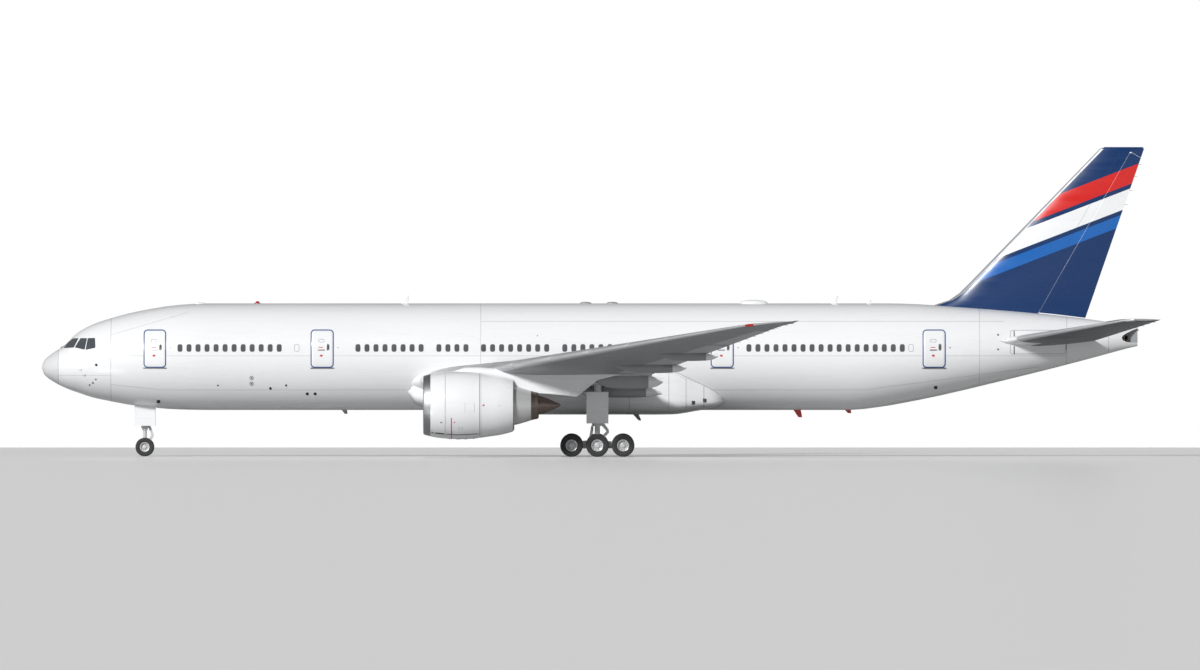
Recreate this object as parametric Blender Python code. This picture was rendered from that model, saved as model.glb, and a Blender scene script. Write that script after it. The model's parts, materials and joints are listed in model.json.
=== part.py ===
"""Wide body airliner, a scale model at 1:2, parked on its landing gear.

Every length here is in metres of the full-size aircraft. Stations run aft from the nose tip (X), spans
run to starboard (Y) and heights run up from the ground (Z). The last step halves everything, moves the
origin to the ground below the middle of the aircraft, and puts each moving piece's own origin on its
joint's axis.
"""

import math

import bmesh
import bpy
import numpy as np
from mathutils import Matrix
from mathutils import Vector

SCALE = 0.5
LENGTH = 63.77
SEAT = 0.0006
SHUT = 0.012
ALONG = Vector((1, 0, 0))
ACROSS = Vector((0, 1, 0))
UP = Vector((0, 0, 1))

# Fuselage: station, crown height, keel height, height of the widest line, half width
FUSELAGE_LINES = (
    (0.00, 5.14, 5.04, 5.09, 0.05),
    (0.11, 5.46, 4.72, 5.09, 0.42),
    (0.34, 5.69, 4.49, 5.09, 0.74),
    (0.80, 6.03, 4.19, 5.10, 1.16),
    (1.13, 6.23, 4.01, 5.11, 1.38),
    (1.36, 6.39, 3.91, 5.12, 1.52),
    (1.62, 6.69, 3.80, 5.14, 1.66),
    (2.06, 7.08, 3.65, 5.18, 1.84),
    (2.86, 7.52, 3.38, 5.26, 2.13),
    (3.78, 7.85, 3.18, 5.36, 2.39),
    (5.61, 8.32, 2.86, 5.53, 2.75),
    (7.90, 8.67, 2.68, 5.67, 2.98),
    (9.50, 8.75, 2.65, 5.70, 3.05),
    (46.2, 8.75, 2.65, 5.70, 3.05),
    (47.9, 8.75, 2.82, 5.75, 3.02),
    (49.1, 8.74, 3.02, 5.80, 2.95),
    (51.4, 8.62, 3.48, 5.95, 2.74),
    (54.2, 8.43, 4.14, 6.20, 2.32),
    (58.2, 8.05, 5.13, 6.55, 1.50),
    (60.5, 7.76, 5.74, 6.75, 0.95),
    (62.0, 7.50, 6.15, 6.85, 0.50),
    (62.67, 7.39, 6.31, 6.86, 0.22),
)
BARREL_RADIUS = 3.05
BARREL_HEIGHT = 5.70
RING_POINTS = 32
NOSE_END = 0.0
RADOME_SPLIT = 0.96
CONE_SPLIT = 61.0
TAIL_END = 62.67
# The auxiliary power unit's exhaust: its recess from the side, then each rod's two ends and radius
EXHAUST_RECESS = (
    (61.76, 6.78), (61.82, 6.64), (62.00, 6.55), (62.25, 6.51), (63.50, 6.49),
    (63.50, 7.36), (62.70, 7.34), (62.30, 7.18), (61.95, 7.00), (61.80, 6.88),
)
EXHAUST_RECESS_SPANS = (-1.0, -0.02)
EXHAUST_PIPE = ((61.62, 0.06, 6.77), (62.02, -0.36, 6.77), 0.19)
EXHAUST_BORE = ((61.82, -0.15, 6.77), (62.12, -0.465, 6.77), 0.155)
SKIN_STATIONS = (
    0.0, 0.11, 0.34, 0.6, 0.96, 1.13, 1.62, 2.06, 2.86, 3.78, 4.7, 5.61, 6.7, 7.9, 9.5,
    46.2, 47.9, 49.1, 50.2, 51.4, 52.8, 54.2, 56.2, 58.2, 60.5, 61.0, 62.0, 62.67,
)

# Cockpit glazing, as it shows from the side: station and height
GLAZING_OUTLINE = ((0.9, 6.21), (1.87, 6.21), (2.50, 6.09), (3.10, 6.20), (3.07, 6.77), (0.9, 6.77))
GLAZING_DEPTH = 0.08

# Passenger doors: first and last station of each
CABIN_DOORS = ((5.92, 7.09), (15.46, 16.66), (38.3, 39.5), (50.4, 51.6))
DOOR_SILL = 5.13
DOOR_HEAD = 7.19
DOOR_CORNER = 0.17
DOOR_DEPTH = 0.15
DOOR_MARGIN = 0.008

# Cargo doors on the starboard side, hinged along their top edge
CARGO_DOORS = {"forward_cargo_door": (11.3, 14.0), "aft_cargo_door": (42.5, 45.2)}
CARGO_TOP_ANGLE = -20.0
CARGO_BOTTOM_ANGLE = -58.0
CARGO_DEPTH = 0.15
CARGO_HINGE_INSET = 0.02
CARGO_TOP_MARGIN = 0.03
CARGO_PIN_RADIUS = 0.012
CARGO_PIN_REACH = 0.06

# Wing-body fairing: station, half width, middle height, height above it, depth below it
FAIRING_LINES = (
    (20.95, 2.28, 3.73, 0.10, 0.10),
    (21.34, 2.75, 3.70, 0.92, 0.67),
    (21.91, 2.95, 3.72, 1.62, 0.92),
    (22.80, 3.08, 3.78, 1.90, 1.20),
    (24.0, 3.20, 3.85, 1.95, 1.38),
    (26.5, 3.32, 3.90, 1.85, 1.49),
    (33.0, 3.32, 3.90, 1.85, 1.49),
    (36.0, 3.20, 3.70, 1.60, 1.28),
    (37.6, 2.84, 3.45, 1.05, 0.80),
    (38.4, 2.52, 3.32, 0.66, 0.54),
    (38.8, 2.16, 3.27, 0.36, 0.32),
    (39.05, 1.70, 3.25, 0.15, 0.15),
)
FAIRING_SQUARENESS = 4.0
FAIRING_POINTS = 24

# Lifting surfaces: span, leading edge station and height, trailing edge station and height, thickness
WING_LINES = (
    (2.2, 20.86, 4.19, 34.60, 3.70, 0.135),
    (9.6, 25.90, 5.05, 34.90, 4.72, 0.105),
    (30.2, 39.93, 7.45, 42.00, 7.42, 0.095),
    (31.5, 41.55, 7.62, 42.72, 7.60, 0.090),
    (32.4, 42.80, 7.73, 43.05, 7.73, 0.090),
)
STABILISER_LINES = (
    (0.6, 53.84, 6.41, 60.05, 6.57, 0.115),
    (10.4, 61.62, 7.76, 63.64, 7.76, 0.085),
    (10.76, 62.30, 7.81, 63.77, 7.81, 0.070),
)
# The fin: height, leading edge station, trailing edge station, thickness
FIN_LINES = (
    (7.60, 48.60, 59.57, 0.070),
    (8.45, 50.30, 59.87, 0.075),
    (8.63, 50.98, 59.93, 0.080),
    (8.94, 51.92, 60.04, 0.086),
    (9.34, 52.49, 60.18, 0.090),
    (9.93, 53.09, 60.38, 0.090),
    (17.59, 60.52, 63.04, 0.090),
    (17.69, 60.80, 62.95, 0.060),
)
WING_CAMBER = 0.02
EDGE_HALF_THICKNESS = 0.004
CHORD_POINTS = (1.0, 0.86, 0.7, 0.5, 0.3, 0.14, 0.05, 0.0125)

# Surfaces cut from the wing: inner and outer span, and the chord fraction of the cut at each
INBOARD_FLAP = ((3.75, 0.824), (9.00, 0.777))
FLAPERON = ((10.2, 0.76), (12.4, 0.76))
OUTBOARD_FLAP = ((12.75, 0.74), (22.2, 0.74))
AILERON = ((22.6, 0.76), (28.4, 0.76))
ELEVATOR = ((2.1, 0.75), (10.2, 0.72))
# The most that each surface turns, trailing edge up and then down, in degrees
FLAPERON_TRAVEL = (11, 37)
AILERON_TRAVEL = (33, 19)
ELEVATOR_TRAVEL = (33, 27)
RUDDER_TRAVEL = (27, 27)
HINGE_PIN_RADIUS = 0.04
HINGE_PIN_REACH = 0.12
HINGE_PIN_ROOT = 0.4
CUTTER_REACH = 6.0
CUTTER_HEIGHT = 2.0
NOSE_ARC_STEPS = 8
CUT_SLANT = 0.02

RUDDER_HINGE_FOOT = (57.2, 8.47)
RUDDER_HINGE_SLOPE = 0.5686
RUDDER_TOP = 17.35
RUDDER_TOP_GAP = 0.06
RUDDER_FOOT_GAP = 0.05
RUDDER_HINGE_HEIGHTS = (8.18, 8.45, 8.94, 9.34)
RUDDER_FOOT_STATIONS = (54, 56, 58, 60, 61.5, 62.67)

# Flap track fairings: each section's place along one and its size, then
# span, first and last station, lowest height and half width of each
TRACK_SECTIONS = ((0.0, 0.15), (0.12, 0.55), (0.35, 0.95), (0.6, 1.0), (0.85, 0.6), (1.0, 0.12))
TRACK_FAIRINGS = (
    (4.6, 30.60, 35.46, 3.37, 0.22),
    (8.9, 31.10, 35.50, 3.87, 0.22),
    (13.6, 32.57, 36.83, 4.78, 0.21),
    (18.6, 34.94, 38.60, 5.47, 0.18),
)

# Engines: the axis, then profiles of station and radius
ENGINE_SPAN = 9.6
ENGINE_HEIGHT = 2.95
COWL_SEGMENTS = 32
CORE_SEGMENTS = 20
INLET_PROFILE = (
    (21.88, 1.63), (22.08, 1.72), (22.50, 1.82), (23.13, 1.90),
    (23.13, 1.62), (22.80, 1.55), (22.35, 1.50), (22.05, 1.53), (21.92, 1.58),
)
COWL_START = 23.13
COWL_END = 25.08
COWL_BORE = 1.64
COWL_PROFILE = (
    (COWL_START + SEAT, 1.90), (24.0, 1.935), (COWL_END, 1.86),
    (COWL_END, COWL_BORE), (COWL_START + SEAT, COWL_BORE),
)
SLEEVE_START = COWL_END + SHUT
SLEEVE_PROFILE = (
    (SLEEVE_START, 1.86), (26.2, 1.71), (27.0, 1.49),
    (27.0, 1.44), (25.6, 1.56), (SLEEVE_START, 1.62),
)
SLEEVE_SLOT = 0.35
SLEEVE_TRAVEL = 0.6
GUIDE_ROD_RADIUS = 0.025
GUIDE_ROD_CIRCLE = 1.68
GUIDE_ROD_END = SLEEVE_START + SLEEVE_TRAVEL + 0.25
GUIDE_ROD_ANGLES = (90, 180, 270)
CORE_FRONT = 23.85
CORE_PROFILE = (
    (CORE_FRONT, 0.0), (CORE_FRONT, 0.62), (24.40, 0.80), (25.20, 1.00), (26.00, 1.13),
    (27.06, 1.13), (28.04, 0.85), (28.39, 0.78), (28.39, 0.72), (28.00, 0.74),
    (28.00, 0.58), (28.39, 0.55), (29.10, 0.33), (29.60, 0.08), (29.69, 0.0),
)
STRUT_COUNT = 10
STRUT_STATIONS = (24.3, 24.8)
STRUT_HALF_THICKNESS = 0.03
STRUT_INNER_RADIUS = 0.7
BLADE_SLANT = 0.42
FAN_PROFILE = (
    (22.55, 0.0), (22.62, 0.11), (22.85, 0.27), (23.15, 0.43),
    (23.20, 0.55), (23.75, 0.60), (23.75, 0.12), (24.29, 0.12), (24.29, 0.0),
)
FAN_SHAFT_RADIUS = 0.12
FAN_SHAFT_END = 24.29
BLADE_COUNT = 22
BLADE_STATIONS = (23.27, 23.68)
BLADE_ROOT = 0.48
BLADE_TIP = 1.61
BLADE_ROOT_TWIST = 35.0
BLADE_TIP_TWIST = 62.0
BLADE_THICKNESS = 0.03

# Pylon: station, underside height, top height, half width
PYLON_LINES = (
    (23.50, 4.60, 4.86, 0.03),
    (24.26, 4.60, 5.09, 0.16),
    (25.10, 4.60, 5.11, 0.24),
    (25.90, 4.20, 5.05, 0.27),
    (26.50, 4.00, 5.10, 0.28),
    (27.20, 3.60, 5.00, 0.28),
    (28.45, 3.62, 5.00, 0.28),
    (29.10, 3.58, 5.00, 0.28),
    (30.00, 3.50, 5.00, 0.28),
    (30.60, 3.43, 5.00, 0.22),
    (31.80, 4.39, 5.00, 0.15),
    (33.30, 4.75, 4.90, 0.04),
)

# Nose gear
NOSE_GEAR_STATION = 5.89
NOSE_WELL = ((5.25, 6.55), 0.50, 3.60)
NOSE_LEG_RADIUS = 0.16
NOSE_LEG_FOOT = 1.50
NOSE_PISTON_RADIUS = 0.11
NOSE_PISTON_TOP = 2.20
# Collars: lowest height, highest height and radius
NOSE_LEG_COLLAR = (2.10, 2.34, 0.21)
NOSE_COLLAR = (1.62, 1.84, 0.215)
NOSE_BRACE_RADIUS = 0.055
NOSE_BRACE_SPANS = (0.10, 0.30)
NOSE_BRACE_HEIGHTS = (2.22, 3.50)
NOSE_BRACE_FOOT = (0.02, 0.24)
NOSE_BRACE_FOOT_BOTTOM = 3.42
NOSE_AXLE_RADIUS = 0.07
NOSE_HOUSING = (0.235, 0.13)
# Torque links, as they show from the side: distance behind the leg's axis, and height
NOSE_LINKS = (
    (0.19, 1.80), (0.30, 1.80), (0.50, 1.28), (0.50, 1.14), (0.20, 0.64),
    (0.06, 0.64), (0.06, 0.74), (0.36, 1.19), (0.36, 1.25), (0.19, 1.66),
)
NOSE_LINKS_HALF_WIDTH = 0.05
NOSE_DOOR_STATIONS = (5.30, 6.50)
NOSE_DOOR_HEIGHTS = (1.75, 3.00)
NOSE_DOOR_THICKNESS = 0.04
NOSE_TYRE_RADIUS = 0.545
NOSE_WHEEL_PROFILE = (
    (0.25, 0.07), (0.26, 0.33), (0.29, 0.49), (0.35, 0.545),
    (0.61, 0.545), (0.67, 0.49), (0.70, 0.33), (0.64, 0.25), (0.64, 0.0),
)
TOW_FITTING = ((5.60, 5.80), 0.08, (0.46, 0.62))

# Main gear
MAIN_GEAR_SPAN = 5.49
MAIN_GEAR_STATION = 31.77
AXLE_PITCH = 1.47
MAIN_LEG_RADIUS = 0.23
MAIN_LEG_FOOT = 1.75
MAIN_LEG_TOP = 4.40
MAIN_LEG_COLLAR = (2.46, 2.76, 0.29)
MAIN_PISTON_RADIUS = 0.15
MAIN_PISTON_TOP = 2.20
# Braces: both ends of each rod, then the foot that it ends in, from station, span and lowest height
MAIN_BRACE_RADIUS = 0.085
DRAG_BRACE = ((31.67, 5.49, 2.62), (30.35, 5.49, 4.25))
DRAG_BRACE_FOOT = ((30.15, 30.50), (5.33, 5.65), 4.12)
SIDE_BRACE = ((31.77, 5.39, 2.62), (31.77, 4.15, 3.88))
SIDE_BRACE_FOOT = ((31.61, 31.93), (3.98, 4.32), 3.76)
MAIN_LINKS = (
    (0.18, 2.02), (0.26, 2.06), (0.66, 1.50), (0.66, 1.36), (0.22, 0.90),
    (0.08, 0.80), (0.08, 0.94), (0.52, 1.41), (0.52, 1.46), (0.18, 1.84),
)
MAIN_LINKS_HALF_WIDTH = 0.08
MAIN_AXLE_RADIUS = 0.09
BEAM_HALF_WIDTH = 0.14
BEAM_HALF_HEIGHT = 0.17
BEAM_NOSE = 0.26
BEAM_HUMP = 0.12
MAIN_TYRE_RADIUS = 0.66
MAIN_WHEEL_PROFILE = (
    (0.42, 0.09), (0.45, 0.40), (0.48, 0.60), (0.55, 0.66),
    (0.85, 0.66), (0.92, 0.60), (0.95, 0.40), (0.88, 0.30), (0.88, 0.0),
)
WHEEL_SEGMENTS = 16
GEAR_BAYS = (((29.9, 32.3), (5.10, 5.90), 4.40), ((31.3, 32.2), (3.80, 5.20), 4.05))
LEG_DOOR_STATIONS = (31.15, 32.40)
LEG_DOOR_HEIGHTS = (1.90, 3.70)
LEG_DOOR_OFFSET = (0.32, 0.36)
LEG_DOOR_LUG_HEIGHTS = (2.62, 3.30)
LEG_DOOR_LUG_REACH = 0.12
LEG_DOOR_LUG_HALF = (0.06, 0.05)
KNUCKLE_HALF = (0.14, 0.13, 0.135)
KNUCKLE_PIN_RADIUS = 0.06
KNUCKLE_PIN_REACH = 0.23
CLEVIS_INNER = 0.15
CLEVIS_OUTER = 0.25
CLEVIS_HALF_WIDTH = 0.14
CLEVIS_BACK = 0.32

JACK_PAD_PLACE = (30.2, 7.4)
JACK_PAD_RADIUS = 0.09
JACK_PAD_DROP = 0.05

ROUND_POINTS = 14
SMALL_ROUND_POINTS = 10

# Paints and metals: colour, roughness, metallic
FINISHES = {
    "white_paint": ((0.86, 0.87, 0.88), 0.30, 0.0),
    "grey_paint": ((0.52, 0.55, 0.58), 0.40, 0.0),
    "blue_paint": ((0.02, 0.05, 0.22), 0.30, 0.0),
    "radome_paint": ((0.84, 0.85, 0.85), 0.38, 0.0),
    "dark_glass": ((0.02, 0.025, 0.03), 0.08, 0.0),
    "bare_metal": ((0.70, 0.71, 0.72), 0.28, 1.0),
    "titanium": ((0.38, 0.33, 0.29), 0.35, 1.0),
    "gear_steel": ((0.62, 0.63, 0.64), 0.35, 0.8),
    "tyre_rubber": ((0.03, 0.03, 0.032), 0.85, 0.0),
}

# The pieces of each finish, without their side. All others are painted white.
PIECE_FINISHES = {
    "grey_paint": (
        "wing", "inboard_flap", "outboard_flap", "flaperon", "aileron", "stabiliser", "elevator", "pylon",
    ),
    "blue_paint": ("fin", "rudder"),
    "radome_paint": ("radome",),
    "dark_glass": ("cockpit_glazing",),
    "bare_metal": ("inlet_cowl", "fan"),
    "titanium": ("engine_core",),
    "gear_steel": ("nose_leg", "nose_fork", "main_leg", "aft_axle"),
    "tyre_rubber": ("nose_wheels", "front_wheels", "middle_wheels", "aft_wheels"),
}

pivots = {}


# Meshes

def build_mesh(name, points, faces):
    """An object of these faces as triangles, with its faces turned outwards."""
    shape = bmesh.new()
    corners = [shape.verts.new(point) for point in points]
    for face in faces:
        shape.faces.new([corners[index] for index in face])
    bmesh.ops.triangulate(shape, faces=shape.faces)
    bmesh.ops.recalc_face_normals(shape, faces=shape.faces)
    mesh = bpy.data.meshes.new(name)
    shape.to_mesh(mesh)
    shape.free()
    obj = bpy.data.objects.new(name, mesh)
    bpy.context.scene.collection.objects.link(obj)
    return obj


def loft(name, rings):
    """A closed skin through rings of equally many points, with flat ends."""
    size = len(rings[0])
    points = [point for ring in rings for point in ring]
    faces = [range(size), range(len(points) - size, len(points))]
    for start in range(0, len(points) - size, size):
        for index in range(size):
            following = (index + 1) % size
            faces.append(
                (start + index, start + following, start + size + following, start + size + index)
            )
    return build_mesh(name, points, faces)


def around(axis):
    """Two directions square to an axis, which a turned shape starts its circle from."""
    first = ACROSS if abs(axis.y) < 0.9 else ALONG
    side = (first - axis * first.dot(axis)).normalized()
    return side, axis.cross(side)


def circle(centre, axis, radius, segments, phase=0.5):
    side, other = around(axis)
    turns = [2 * math.pi * (index + phase) / segments for index in range(segments)]
    return [centre + radius * (side * math.cos(turn) + other * math.sin(turn)) for turn in turns]


def turned(name, profile, centre, axis, segments):
    """A profile of places along an axis and radii, turned about it. It is a tube where it has no end at
    radius 0, and its last point then meets its first."""
    capped = profile[0][1] == 0
    rings = [circle(centre + axis * place, axis, radius, segments) for place, radius in profile if radius]
    points = [point for ring in rings for point in ring]
    pairs = list(zip(range(len(rings) - 1), range(1, len(rings))))
    faces = []
    if capped:
        points += [centre + axis * profile[0][0], centre + axis * profile[-1][0]]
        last = (len(rings) - 1) * segments
        for index in range(segments):
            following = (index + 1) % segments
            faces.append((len(points) - 2, following, index))
            faces.append((len(points) - 1, last + index, last + following))
    else:
        pairs.append((len(rings) - 1, 0))
    for first, second in pairs:
        for index in range(segments):
            following = (index + 1) % segments
            faces.append(
                (
                    first * segments + index,
                    first * segments + following,
                    second * segments + following,
                    second * segments + index,
                )
            )
    return build_mesh(name, points, faces)


def rod(start, end, radius, segments=SMALL_ROUND_POINTS, phase=0.5):
    start = Vector(start)
    end = Vector(end)
    axis = (end - start).normalized()
    return loft("rod", [circle(place, axis, radius, segments, phase) for place in (start, end)])


def bore(start, end, radius, segments=SMALL_ROUND_POINTS):
    """A cutter for a hole that a rod of this radius turns or slides in. The rod's corners lie a seat's
    gap from the middles of the hole's flats, and the hole clears them whichever way the rod turns."""
    return rod(start, end, (radius + SEAT) / math.cos(math.pi / segments), segments, 0.0)


def prism(name, outline, low, high, axis):
    """An outline drawn square to an axis, as its other two coordinates in order, and drawn out along it."""
    rings = []
    for depth in (low, high):
        ring = []
        for first, second in outline:
            if axis == "X":
                ring.append((depth, first, second))
            elif axis == "Y":
                ring.append((first, depth, second))
            else:
                ring.append((first, second, depth))
        rings.append(ring)
    return loft(name, rings)


def box(name, stations, spans, heights):
    corners = [(stations[0], spans[0]), (stations[1], spans[0]), (stations[1], spans[1])]
    corners.append((stations[0], spans[1]))
    return prism(name, corners, heights[0], heights[1], "Z")


def rounded_rectangle(low, high, radius, steps=2):
    centres = (
        (high[0] - radius, high[1] - radius, 0),
        (low[0] + radius, high[1] - radius, 90),
        (low[0] + radius, low[1] + radius, 180),
        (high[0] - radius, low[1] + radius, 270),
    )
    outline = []
    for centre_x, centre_z, start in centres:
        for step in range(steps + 1):
            angle = math.radians(start + 90 * step / steps)
            outline.append((centre_x + radius * math.cos(angle), centre_z + radius * math.sin(angle)))
    return outline


def copy_of(obj, name="copy"):
    twin = obj.copy()
    twin.data = obj.data.copy()
    twin.name = name
    bpy.context.scene.collection.objects.link(twin)
    return twin


def swollen(obj, gap):
    """A copy that is larger by a gap all round, which cuts a neighbour's seat."""
    twin = copy_of(obj)
    shape = bmesh.new()
    shape.from_mesh(twin.data)
    moves = [vertex.normal * (gap * vertex.calc_shell_factor()) for vertex in shape.verts]
    for vertex, move in zip(shape.verts, moves):
        vertex.co += move
    shape.to_mesh(twin.data)
    shape.free()
    return twin


def volume_inside(mesh):
    """The volume that a mesh encloses, or -1 where it is empty or open."""
    shape = bmesh.new()
    shape.from_mesh(mesh)
    closed = bool(shape.faces) and all(len(edge.link_faces) == 2 for edge in shape.edges)
    volume = shape.calc_volume() if closed else -1.0
    shape.free()
    return volume


def boolean(target, tool, operation):
    """Applies a Boolean at once, and removes its tool. The exact solver's result is kept, unless the
    manifold solver finds another volume: then the exact one has left a body or a face out."""
    modifier = target.modifiers.new("boolean", "BOOLEAN")
    modifier.operation = operation
    modifier.object = tool
    results = []
    for solver in ("EXACT", "MANIFOLD"):
        modifier.solver = solver
        graph = bpy.context.evaluated_depsgraph_get()
        results.append(bpy.data.meshes.new_from_object(target.evaluated_get(graph)))
    exact, manifold = [volume_inside(result) for result in results]
    trusted = manifold < 0 or abs(exact - manifold) < 1e-5 * manifold
    target.modifiers.clear()
    target.data = results[0] if trusted else results[1]
    bpy.data.objects.remove(tool)
    return target


def cut(target, *tools):
    for tool in tools:
        boolean(target, tool, "DIFFERENCE")
    return target


def join(target, *tools):
    for tool in tools:
        boolean(target, tool, "UNION")
    return target


def keep_inside(target, tool):
    return boolean(target, tool, "INTERSECT")


def mirrored(obj, name):
    """The piece's twin on the port side, with its pivot mirrored too."""
    twin = copy_of(obj, name)
    twin.data.transform(Matrix.Scale(-1, 4, ACROSS))
    twin.data.flip_normals()
    if obj.name in pivots:
        centre = pivots[obj.name]
        pivots[name] = Vector((centre.x, -centre.y, centre.z))
    return twin


def renamed(obj, name):
    obj.name = name
    obj.data.name = name
    return obj


# Curves through tables

def smooth_row(rows, place):
    """A table's row at a place between its own rows, on smooth curves that don't overshoot."""
    table = np.array(rows)
    steps = np.diff(table[:, 0])
    slopes = np.diff(table, axis=0) / steps[:, None]
    before = slopes[:-1]
    after = slopes[1:]
    same_way = before * after > 0
    middle = np.where(same_way, 2 * before * after / np.where(same_way, before + after, 1), 0)
    tangents = np.vstack([slopes[:1], middle, slopes[-1:]])
    index = int(np.clip(np.searchsorted(table[:, 0], place) - 1, 0, len(steps) - 1))
    step = steps[index]
    t = (place - table[index, 0]) / step
    start = (1 + 2 * t) * (1 - t) ** 2 * table[index] + t * (1 - t) ** 2 * step * tangents[index]
    end = t * t * (3 - 2 * t) * table[index + 1] + t * t * (t - 1) * step * tangents[index + 1]
    return start + end


def straight_row(rows, place):
    table = np.array(rows)
    return [float(np.interp(place, table[:, 0], column)) for column in table.T]


# Fuselage

def fuselage_ring(station, inset=0.0):
    _, crown, keel, widest, half_width = smooth_row(FUSELAGE_LINES, station)
    ring = []
    for index in range(RING_POINTS):
        turn = 2 * math.pi * index / RING_POINTS
        height = crown - widest if math.cos(turn) > 0 else widest - keel
        span = (half_width - inset) * math.sin(turn)
        ring.append((station, span, widest + (height - inset) * math.cos(turn)))
    return ring


def fuselage_part(name, first, last, inset=0.0):
    inner = [station for station in SKIN_STATIONS if first < station < last]
    return loft(name, [fuselage_ring(station, inset) for station in (first, *inner, last)])


def skin_panel(name, outline, grown_outline, stations, spans, depth):
    """A panel as deep as a door, with the skin's own outer face, and the cutter for its pocket."""
    panel = keep_inside(prism(name, outline, spans[0], spans[1], "Y"), fuselage_part("skin", *stations))
    cut(panel, fuselage_part("core", *stations, inset=depth))
    pocket = prism("pocket", grown_outline, spans[0] * 1.1, spans[1] * 1.1, "Y")
    cut(pocket, fuselage_part("core", *stations, inset=depth + SEAT))
    return panel, pocket


def cabin_doors(fuselage):
    doors = []
    for number, (first, last) in enumerate(CABIN_DOORS, start=1):
        outline = rounded_rectangle((first, DOOR_SILL), (last, DOOR_HEAD), DOOR_CORNER)
        low = (first - DOOR_MARGIN, DOOR_SILL - DOOR_MARGIN)
        high = (last + DOOR_MARGIN, DOOR_HEAD + DOOR_MARGIN)
        grown = rounded_rectangle(low, high, DOOR_CORNER + DOOR_MARGIN)
        for side, spans in (("right", (1.0, 4.0)), ("left", (-1.0, -4.0))):
            name = f"{side}_cabin_door_{number}"
            near = (first - 1.5, last + 1.5)
            door, pocket = skin_panel(name, outline, grown, near, spans, DOOR_DEPTH)
            cut(fuselage, pocket)
            doors.append(door)
    return doors


def glazing(fuselage):
    spans = (-3.0, 3.0)
    near = (0.5, 3.6)
    middle = np.mean(GLAZING_OUTLINE, axis=0)
    grown = [tuple(point + SHUT * np.sign(point - middle)) for point in np.array(GLAZING_OUTLINE)]
    panes, pocket = skin_panel("cockpit_glazing", GLAZING_OUTLINE, grown, near, spans, GLAZING_DEPTH)
    cut(fuselage, pocket)
    return panes


def arc_sector(name, stations, angles, radii, steps=8):
    """A stretch of the barrel's wall: angles in degrees above the starboard side, between two radii."""
    outline = []
    for radius, order in ((radii[0], 1), (radii[1], -1)):
        turns = np.radians(np.linspace(angles[0], angles[1], steps + 1))[::order]
        outline += [(radius * math.cos(turn), BARREL_HEIGHT + radius * math.sin(turn)) for turn in turns]
    return prism(name, outline, stations[0], stations[1], "X")


def cargo_door(name, stations, fuselage):
    core_radius = BARREL_RADIUS - CARGO_DEPTH
    angles = (CARGO_BOTTOM_ANGLE, CARGO_TOP_ANGLE)
    door = arc_sector(name, stations, angles, (core_radius, BARREL_RADIUS + 1))
    keep_inside(door, fuselage_part("skin", 9.5, 46.2))
    hinge_radius = BARREL_RADIUS - CARGO_HINGE_INSET
    hinge_angle = math.radians(CARGO_TOP_ANGLE) - CARGO_HINGE_INSET / hinge_radius
    hinge_span = hinge_radius * math.cos(hinge_angle)
    hinge_height = BARREL_HEIGHT + hinge_radius * math.sin(hinge_angle)
    pivots[name] = Vector((sum(stations) / 2, hinge_span, hinge_height))
    degrees_per_metre = math.degrees(1 / BARREL_RADIUS)
    grown = (
        CARGO_BOTTOM_ANGLE - SHUT * degrees_per_metre,
        CARGO_TOP_ANGLE + CARGO_TOP_MARGIN * degrees_per_metre,
    )
    ends = (stations[0] - SHUT, stations[1] + SHUT)
    cut(fuselage, arc_sector("pocket", ends, grown, (core_radius - SHUT, BARREL_RADIUS + 1)))
    for end, way in ((stations[0], -1), (stations[1], 1)):
        root = (end - way * 0.1, hinge_span, hinge_height)
        tip = (end + way * CARGO_PIN_REACH, hinge_span, hinge_height)
        hole_end = (end + way * (CARGO_PIN_REACH + SEAT), hinge_span, hinge_height)
        join(door, rod(root, tip, CARGO_PIN_RADIUS, 8))
        cut(fuselage, bore(root, hole_end, CARGO_PIN_RADIUS, 8))
    return door


def tail_cone():
    """The blade-ended cone, with the auxiliary power unit's exhaust in a recess on its port side."""
    cone = fuselage_part("tail_cone", CONE_SPLIT + SEAT, TAIL_END)
    cut(cone, prism("recess", EXHAUST_RECESS, *EXHAUST_RECESS_SPANS, "Y"))
    return cut(join(cone, rod(*EXHAUST_PIPE)), rod(*EXHAUST_BORE))


# Lifting surfaces

def half_thickness(fraction, thickness, chord):
    """Half the depth of the aerofoil at a fraction of its chord."""
    shape = (
        0.2969 * math.sqrt(fraction)
        - 0.1260 * fraction
        - 0.3516 * fraction**2
        + 0.2843 * fraction**3
        - 0.1015 * fraction**4
    )
    return max(5 * thickness * chord * shape, EDGE_HALF_THICKNESS if fraction > 0.5 else 0)


def camber_height(fraction, camber, chord):
    return 4 * camber * fraction * (1 - fraction) * chord


def aerofoil_ring(leading, trailing, thickness, thick_way, camber=0.0):
    chord = (trailing - leading).length
    sections = [(fraction, 1) for fraction in CHORD_POINTS] + [(0.0, 0)]
    sections += [(fraction, -1) for fraction in reversed(CHORD_POINTS)]
    ring = []
    for fraction, side in sections:
        offset = side * half_thickness(fraction, thickness, chord) + camber_height(fraction, camber, chord)
        ring.append(leading + (trailing - leading) * fraction + thick_way * offset)
    return ring


def edges_at(lines, span):
    _, lead_x, lead_z, trail_x, trail_z, thickness = straight_row(lines, span)
    return Vector((lead_x, span, lead_z)), Vector((trail_x, span, trail_z)), thickness


def lifting_surface(name, lines, camber=0.0):
    rings = []
    for row in lines:
        leading, trailing, thickness = edges_at(lines, row[0])
        rings.append(aerofoil_ring(leading, trailing, thickness, UP, camber))
    return loft(name, rings)


def hinge_end(lines, span, fraction, camber=0.0):
    """A hinge line's point in the middle of the surface's depth, and half that depth."""
    leading, trailing, thickness = edges_at(lines, span)
    chord = (trailing - leading).length
    middle = leading + (trailing - leading) * fraction + UP * camber_height(fraction, camber, chord)
    return middle, half_thickness(fraction, thickness, chord)


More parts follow.
